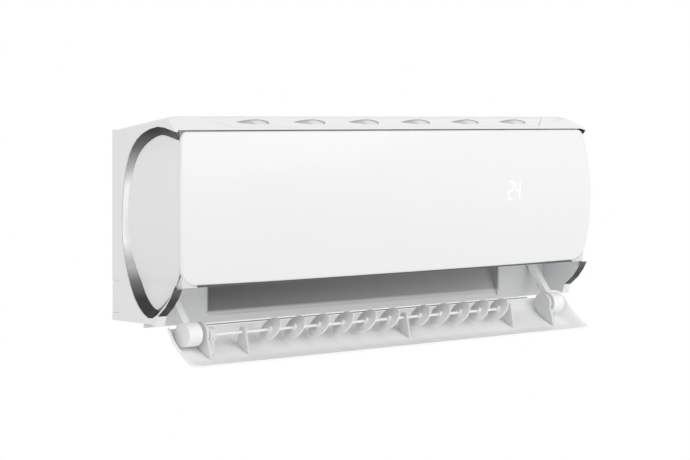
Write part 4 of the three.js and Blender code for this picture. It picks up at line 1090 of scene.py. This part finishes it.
# Outlines of (depth, height) points.
MOUTH_SIDE = [
    (-0.0662, -0.0020),
    (-0.1000, 0.0006),
    (-0.1112, -0.0027),
    (-0.1172, 0.0146),
    (-0.1354, 0.0288),
    (-0.1478, 0.0434),
    (-0.1540, 0.0564),
    (-0.0662, 0.0564),
]
LIP_END = [
    (-0.0620, -0.0024),
    (-0.0620, -0.0086),
    (-0.0612, -0.0094),
    (-0.0600, -0.0096),
    (-0.0580, -0.0090),
    (-0.0580, -0.0024),
]


def prism(outline, x0, x1):
    """Vertices and faces of an outline of (depth, height) points drawn out along the unit."""
    n = len(outline)
    verts = [place(y, z, x) for x in (x0, x1) for y, z in outline]
    faces = [list(range(n)), [n + i for i in range(n)][::-1]]
    faces += [[i, (i + 1) % n, n + (i + 1) % n, n + i] for i in range(n)]
    return verts, faces


class WALLUNIT_OT_mouth(bpy.types.Operator):
    """Build the plates that close the mouth's two ends and the lip's two end lengths"""

    bl_idname = "wall_unit.mouth"
    bl_label = "Mouth ends"

    side_inner: FloatProperty(
        name="Plate", description="Middle to its inner face", default=0.45768, unit="LENGTH"
    )
    side_skin: FloatProperty(
        name="Plate skin", description="Thickness of the plate", default=0.00014, unit="LENGTH"
    )
    lip_from: FloatProperty(
        name="Lip end from", description="Where the end starts", default=0.3952, unit="LENGTH"
    )
    lip_to: FloatProperty(
        name="Lip end to", description="Where the end stops", default=0.4574, unit="LENGTH"
    )

    def execute(self, context):
        look = finishes()["soft_white_moulding"]
        for side, sign in (("left", -1), ("right", 1)):
            x = sign * self.side_inner
            plate = prism(MOUTH_SIDE, x, x + sign * self.side_skin)
            piece(f"mouth_side_{side}", *plate, look, "housing", "soft_white_moulding")
            lip = prism(LIP_END, sign * self.lip_from, sign * self.lip_to)
            made = piece(f"lip_end_{side}", *lip, look, "housing", "soft_white_moulding")
            soften(made, 0.0004)
        return {"FINISHED"}


SEGMENTS = {
    "a": ((0, 2), (1, 2)),
    "b": ((1, 1), (1, 2)),
    "c": ((1, 0), (1, 1)),
    "d": ((0, 0), (1, 0)),
    "e": ((0, 0), (0, 1)),
    "f": ((0, 1), (0, 2)),
    "g": ((0, 1), (1, 1)),
}
DIGITS = {
    "0": "abcdef",
    "1": "bc",
    "2": "abged",
    "3": "abgcd",
    "4": "fgbc",
    "5": "afgcd",
    "6": "afgedc",
    "7": "abc",
    "8": "abcdefg",
    "9": "abcdfg",
}
SEGMENT_INSET = 1.3  # a segment's ends from its corners, in half strokes
DIGIT_LIFT = 0.00008  # the segments' height over the panel's face


class WALLUNIT_OT_digits(bpy.types.Operator):
    """Set the lit segments of the set temperature on the panel's face"""

    bl_idname = "wall_unit.digits"
    bl_label = "Digits"

    text: StringProperty(name="Digits", description="Set temperature", default="24")
    left: FloatProperty(name="Left", description="Left edge", default=0.246, unit="LENGTH")
    foot: FloatProperty(name="Foot", description="Foot's height", default=0.1755, unit="LENGTH")
    width: FloatProperty(name="Width", description="Digit's width", default=0.011, unit="LENGTH")
    pitch: FloatProperty(name="Pitch", description="Digit to digit", default=0.0175, unit="LENGTH")
    rise: FloatProperty(name="Rise", description="Segment's height", default=0.0155, unit="LENGTH")
    stroke: FloatProperty(name="Stroke", description="Half a stroke", default=0.0011, unit="LENGTH")
    slant: FloatProperty(name="Slant", description="Lean of the digits", default=0.08)

    def execute(self, context):
        p = context.scene.wall_unit_panel
        verts, faces = [], []
        for n, digit in enumerate(self.text):
            for segment in DIGITS[digit]:
                self.segment(p, n, SEGMENTS[segment], verts, faces)
        piece("lit_digits", verts, faces, finishes()["digits"], "front_panel", "white_housing")
        return {"FINISHED"}

    def segment(self, p, n, ends, verts, faces):
        """Adds one pointed stroke of the nth digit."""
        start, end = [Vector((self.width * a, self.rise * b)) for a, b in ends]
        along = (end - start).normalized() * self.stroke
        across = Vector((-along.y, along.x))
        a, b = start + along * SEGMENT_INSET, end - along * SEGMENT_INSET
        outline = [a - along, a + across, b + across, b + along, b - across, a - across]
        faces.append([len(verts) + i for i in range(len(outline))])
        for q in outline:
            x = self.left + n * self.pitch + q.x + self.slant * q.y
            z = self.foot + q.y
            verts.append(place(front_at(x, z, p) - DIGIT_LIFT, z, x))


# Carried-over solids whose finish differs from the one of their slot.
KEPT_MATERIALS = {
    # outlet_housing: its duct carries painted shade and painted light
    "outlet_housing": "outlet_moulding",
    # louver_seal: its grey is painted shade, a strip standing for the shadow in the gap under the
    # casing's lip
    "louver_seal": "grey_moulding",
}


class WALLUNIT_OT_frame(bpy.types.Operator):
    """Give every carried-over solid its finish and soft edges"""

    bl_idname = "wall_unit.frame"
    bl_label = "Frame finishes"

    def execute(self, context):
        slots = {s["node"]: s["material_slot"] for s in FRAME["record"]["subparts"]}
        for name, node in FRAME["nodes"].items():
            if node.hide_render:
                continue
            material = finishes()[KEPT_MATERIALS.get(name, slots.get(name, "white_housing"))]
            node.data.materials.clear()
            node.data.materials.append(material)
            weld = node.modifiers.new("weld", "WELD")
            weld.merge_threshold = 0.00001
            node.modifiers.new("smooth", "NODES").node_group = smooth_faces_group()
            soften(node, 0.0005, 2, 35.0)
        return {"FINISHED"}


# ------------------------------------------------------------------ stage


CAMERA_PLACE = (-2.387, -2.639, 0.154)
CAMERA_TURN = (math.radians(90), 0.0, math.radians(-42.37))
CAMERA_SHIFT = -0.1592
LAMPS = {  # each lamp's place, the point it faces and its size
    "key": ((1.3, -2.6, 1.5), (0, 0, 0), 2.4),
    "fill": ((-2.6, -1.2, 0.8), (-0.3, 0, 0), 2.0),
    "low": ((0.5, -2.3, -0.45), (0, -0.13, -0.18), 1.6),
}
FLOOR_REACH = 14.0


def lamp(name, where, target, size, power):
    """A round soft lamp that faces a point."""
    data = bpy.data.lights.new(name, "AREA")
    data.shape = "DISK"
    data.size = size
    data.energy = power
    obj = bpy.data.objects.new(name, data)
    obj.location = where
    obj.rotation_euler = (Vector(target) - Vector(where)).to_track_quat("-Z", "Y").to_euler()
    bpy.context.scene.collection.objects.link(obj)


def seen_directly(tree):
    """The ray node, and one for rays from the camera and through glass, nothing for the rest."""
    path = tree.nodes.new("ShaderNodeLightPath")
    first = math_node(
        tree, "MAXIMUM", path.outputs["Is Camera Ray"], path.outputs["Is Transmission Ray"]
    )
    return path, first


class WALLUNIT_OT_stage(bpy.types.Operator):
    """Set up the camera, the soft lamps, the surroundings and the floor"""

    bl_idname = "wall_unit.stage"
    bl_label = "Stage"

    def execute(self, context):
        s = context.scene.wall_unit_stage
        scene = context.scene
        scene.view_settings.view_transform = "Standard"
        data = bpy.data.cameras.new("camera")
        data.sensor_width = 36.0
        data.lens = s.lens
        data.shift_y = CAMERA_SHIFT
        camera = bpy.data.objects.new("camera", data)
        camera.location = CAMERA_PLACE
        camera.rotation_euler = CAMERA_TURN
        scene.collection.objects.link(camera)
        scene.camera = camera
        for name, (where, target, size) in LAMPS.items():
            lamp(name, where, target, size, getattr(s, name))
        self.surroundings(scene, s)
        self.floor(scene, s)
        return {"FINISHED"}

    def surroundings(self, scene, s):
        """Plain soft light all round, seen as white."""
        world = bpy.data.worlds.new("studio")
        scene.world = world
        world.use_nodes = True
        tree = world.node_tree
        back = tree.nodes["Background"]
        path, direct = seen_directly(tree)
        lit = math_node(tree, "MAXIMUM", direct, path.outputs["Is Glossy Ray"])
        rest = math_node(tree, "MULTIPLY", math_node(tree, "SUBTRACT", 1.0, lit), s.world)
        back.inputs["Color"].default_value = (1, 1, 1, 1)
        tree.links.new(math_node(tree, "ADD", lit, rest), back.inputs["Strength"])

    def floor(self, scene, s):
        """A plain pale floor, seen as white."""
        mesh = bpy.data.meshes.new("floor")
        corners = ((-1, -1), (1, -1), (1, 1), (-1, 1))
        verts = [(FLOOR_REACH * x, FLOOR_REACH * y, s.floor) for x, y in corners]
        mesh.from_pydata(verts, [], [[0, 1, 2, 3]])
        floor = bpy.data.objects.new("floor", mesh)
        scene.collection.objects.link(floor)
        material, tree, shader = bare_material("Studio floor")
        noise = tree.nodes.new("ShaderNodeTexNoise")
        noise.inputs["Scale"].default_value = 3.0
        tint = mix_node(tree, noise.outputs["Fac"], (0.93, 0.93, 0.93, 1), (0.95, 0.95, 0.95, 1))
        tree.links.new(tint, shader.inputs["Base Color"])
        shader.inputs["Roughness"].default_value = 0.9
        glow = tree.nodes.new("ShaderNodeEmission")
        mix = tree.nodes.new("ShaderNodeMixShader")
        _, direct = seen_directly(tree)
        tree.links.new(direct, mix.inputs[0])
        tree.links.new(shader.outputs[0], mix.inputs[1])
        tree.links.new(glow.outputs[0], mix.inputs[2])
        tree.links.new(mix.outputs[0], tree.nodes["Material Output"].inputs["Surface"])
        mesh.materials.append(material)


class WALLUNIT_PT_tools(bpy.types.Panel):
    """Lists the steps of the build"""

    bl_idname = "WALLUNIT_PT_tools"
    bl_label = "Wall Unit"
    bl_space_type = "VIEW_3D"
    bl_region_type = "UI"
    bl_category = "Wall Unit"

    def draw(self, context):
        for operator in OPERATORS:
            self.layout.operator(operator.bl_idname)


SETTINGS = {
    "wall_unit_panel": PanelSettings,
    "wall_unit_band": BandSettings,
    "wall_unit_louver": LouverSettings,
    "wall_unit_finish": FinishSettings,
    "wall_unit_stage": StageSettings,
}
OPERATORS = (
    WALLUNIT_OT_stage,
    WALLUNIT_OT_panel,
    WALLUNIT_OT_ends,
    WALLUNIT_OT_louver,
    WALLUNIT_OT_vanes,
    WALLUNIT_OT_fascia,
    WALLUNIT_OT_mouth,
    WALLUNIT_OT_digits,
    WALLUNIT_OT_frame,
)


def register():
    for cls in (*SETTINGS.values(), *OPERATORS, WALLUNIT_PT_tools):
        bpy.utils.register_class(cls)
    for name, cls in SETTINGS.items():
        setattr(bpy.types.Scene, name, PointerProperty(type=cls))


def unregister():
    for name in SETTINGS:
        delattr(bpy.types.Scene, name)
    for cls in (WALLUNIT_PT_tools, *reversed(OPERATORS), *reversed(list(SETTINGS.values()))):
        bpy.utils.unregister_class(cls)


def main():
    register()
    for operator in OPERATORS:
        group, name = operator.bl_idname.split(".")
        getattr(getattr(bpy.ops, group), name)()


if __name__ == "__main__":
    main()
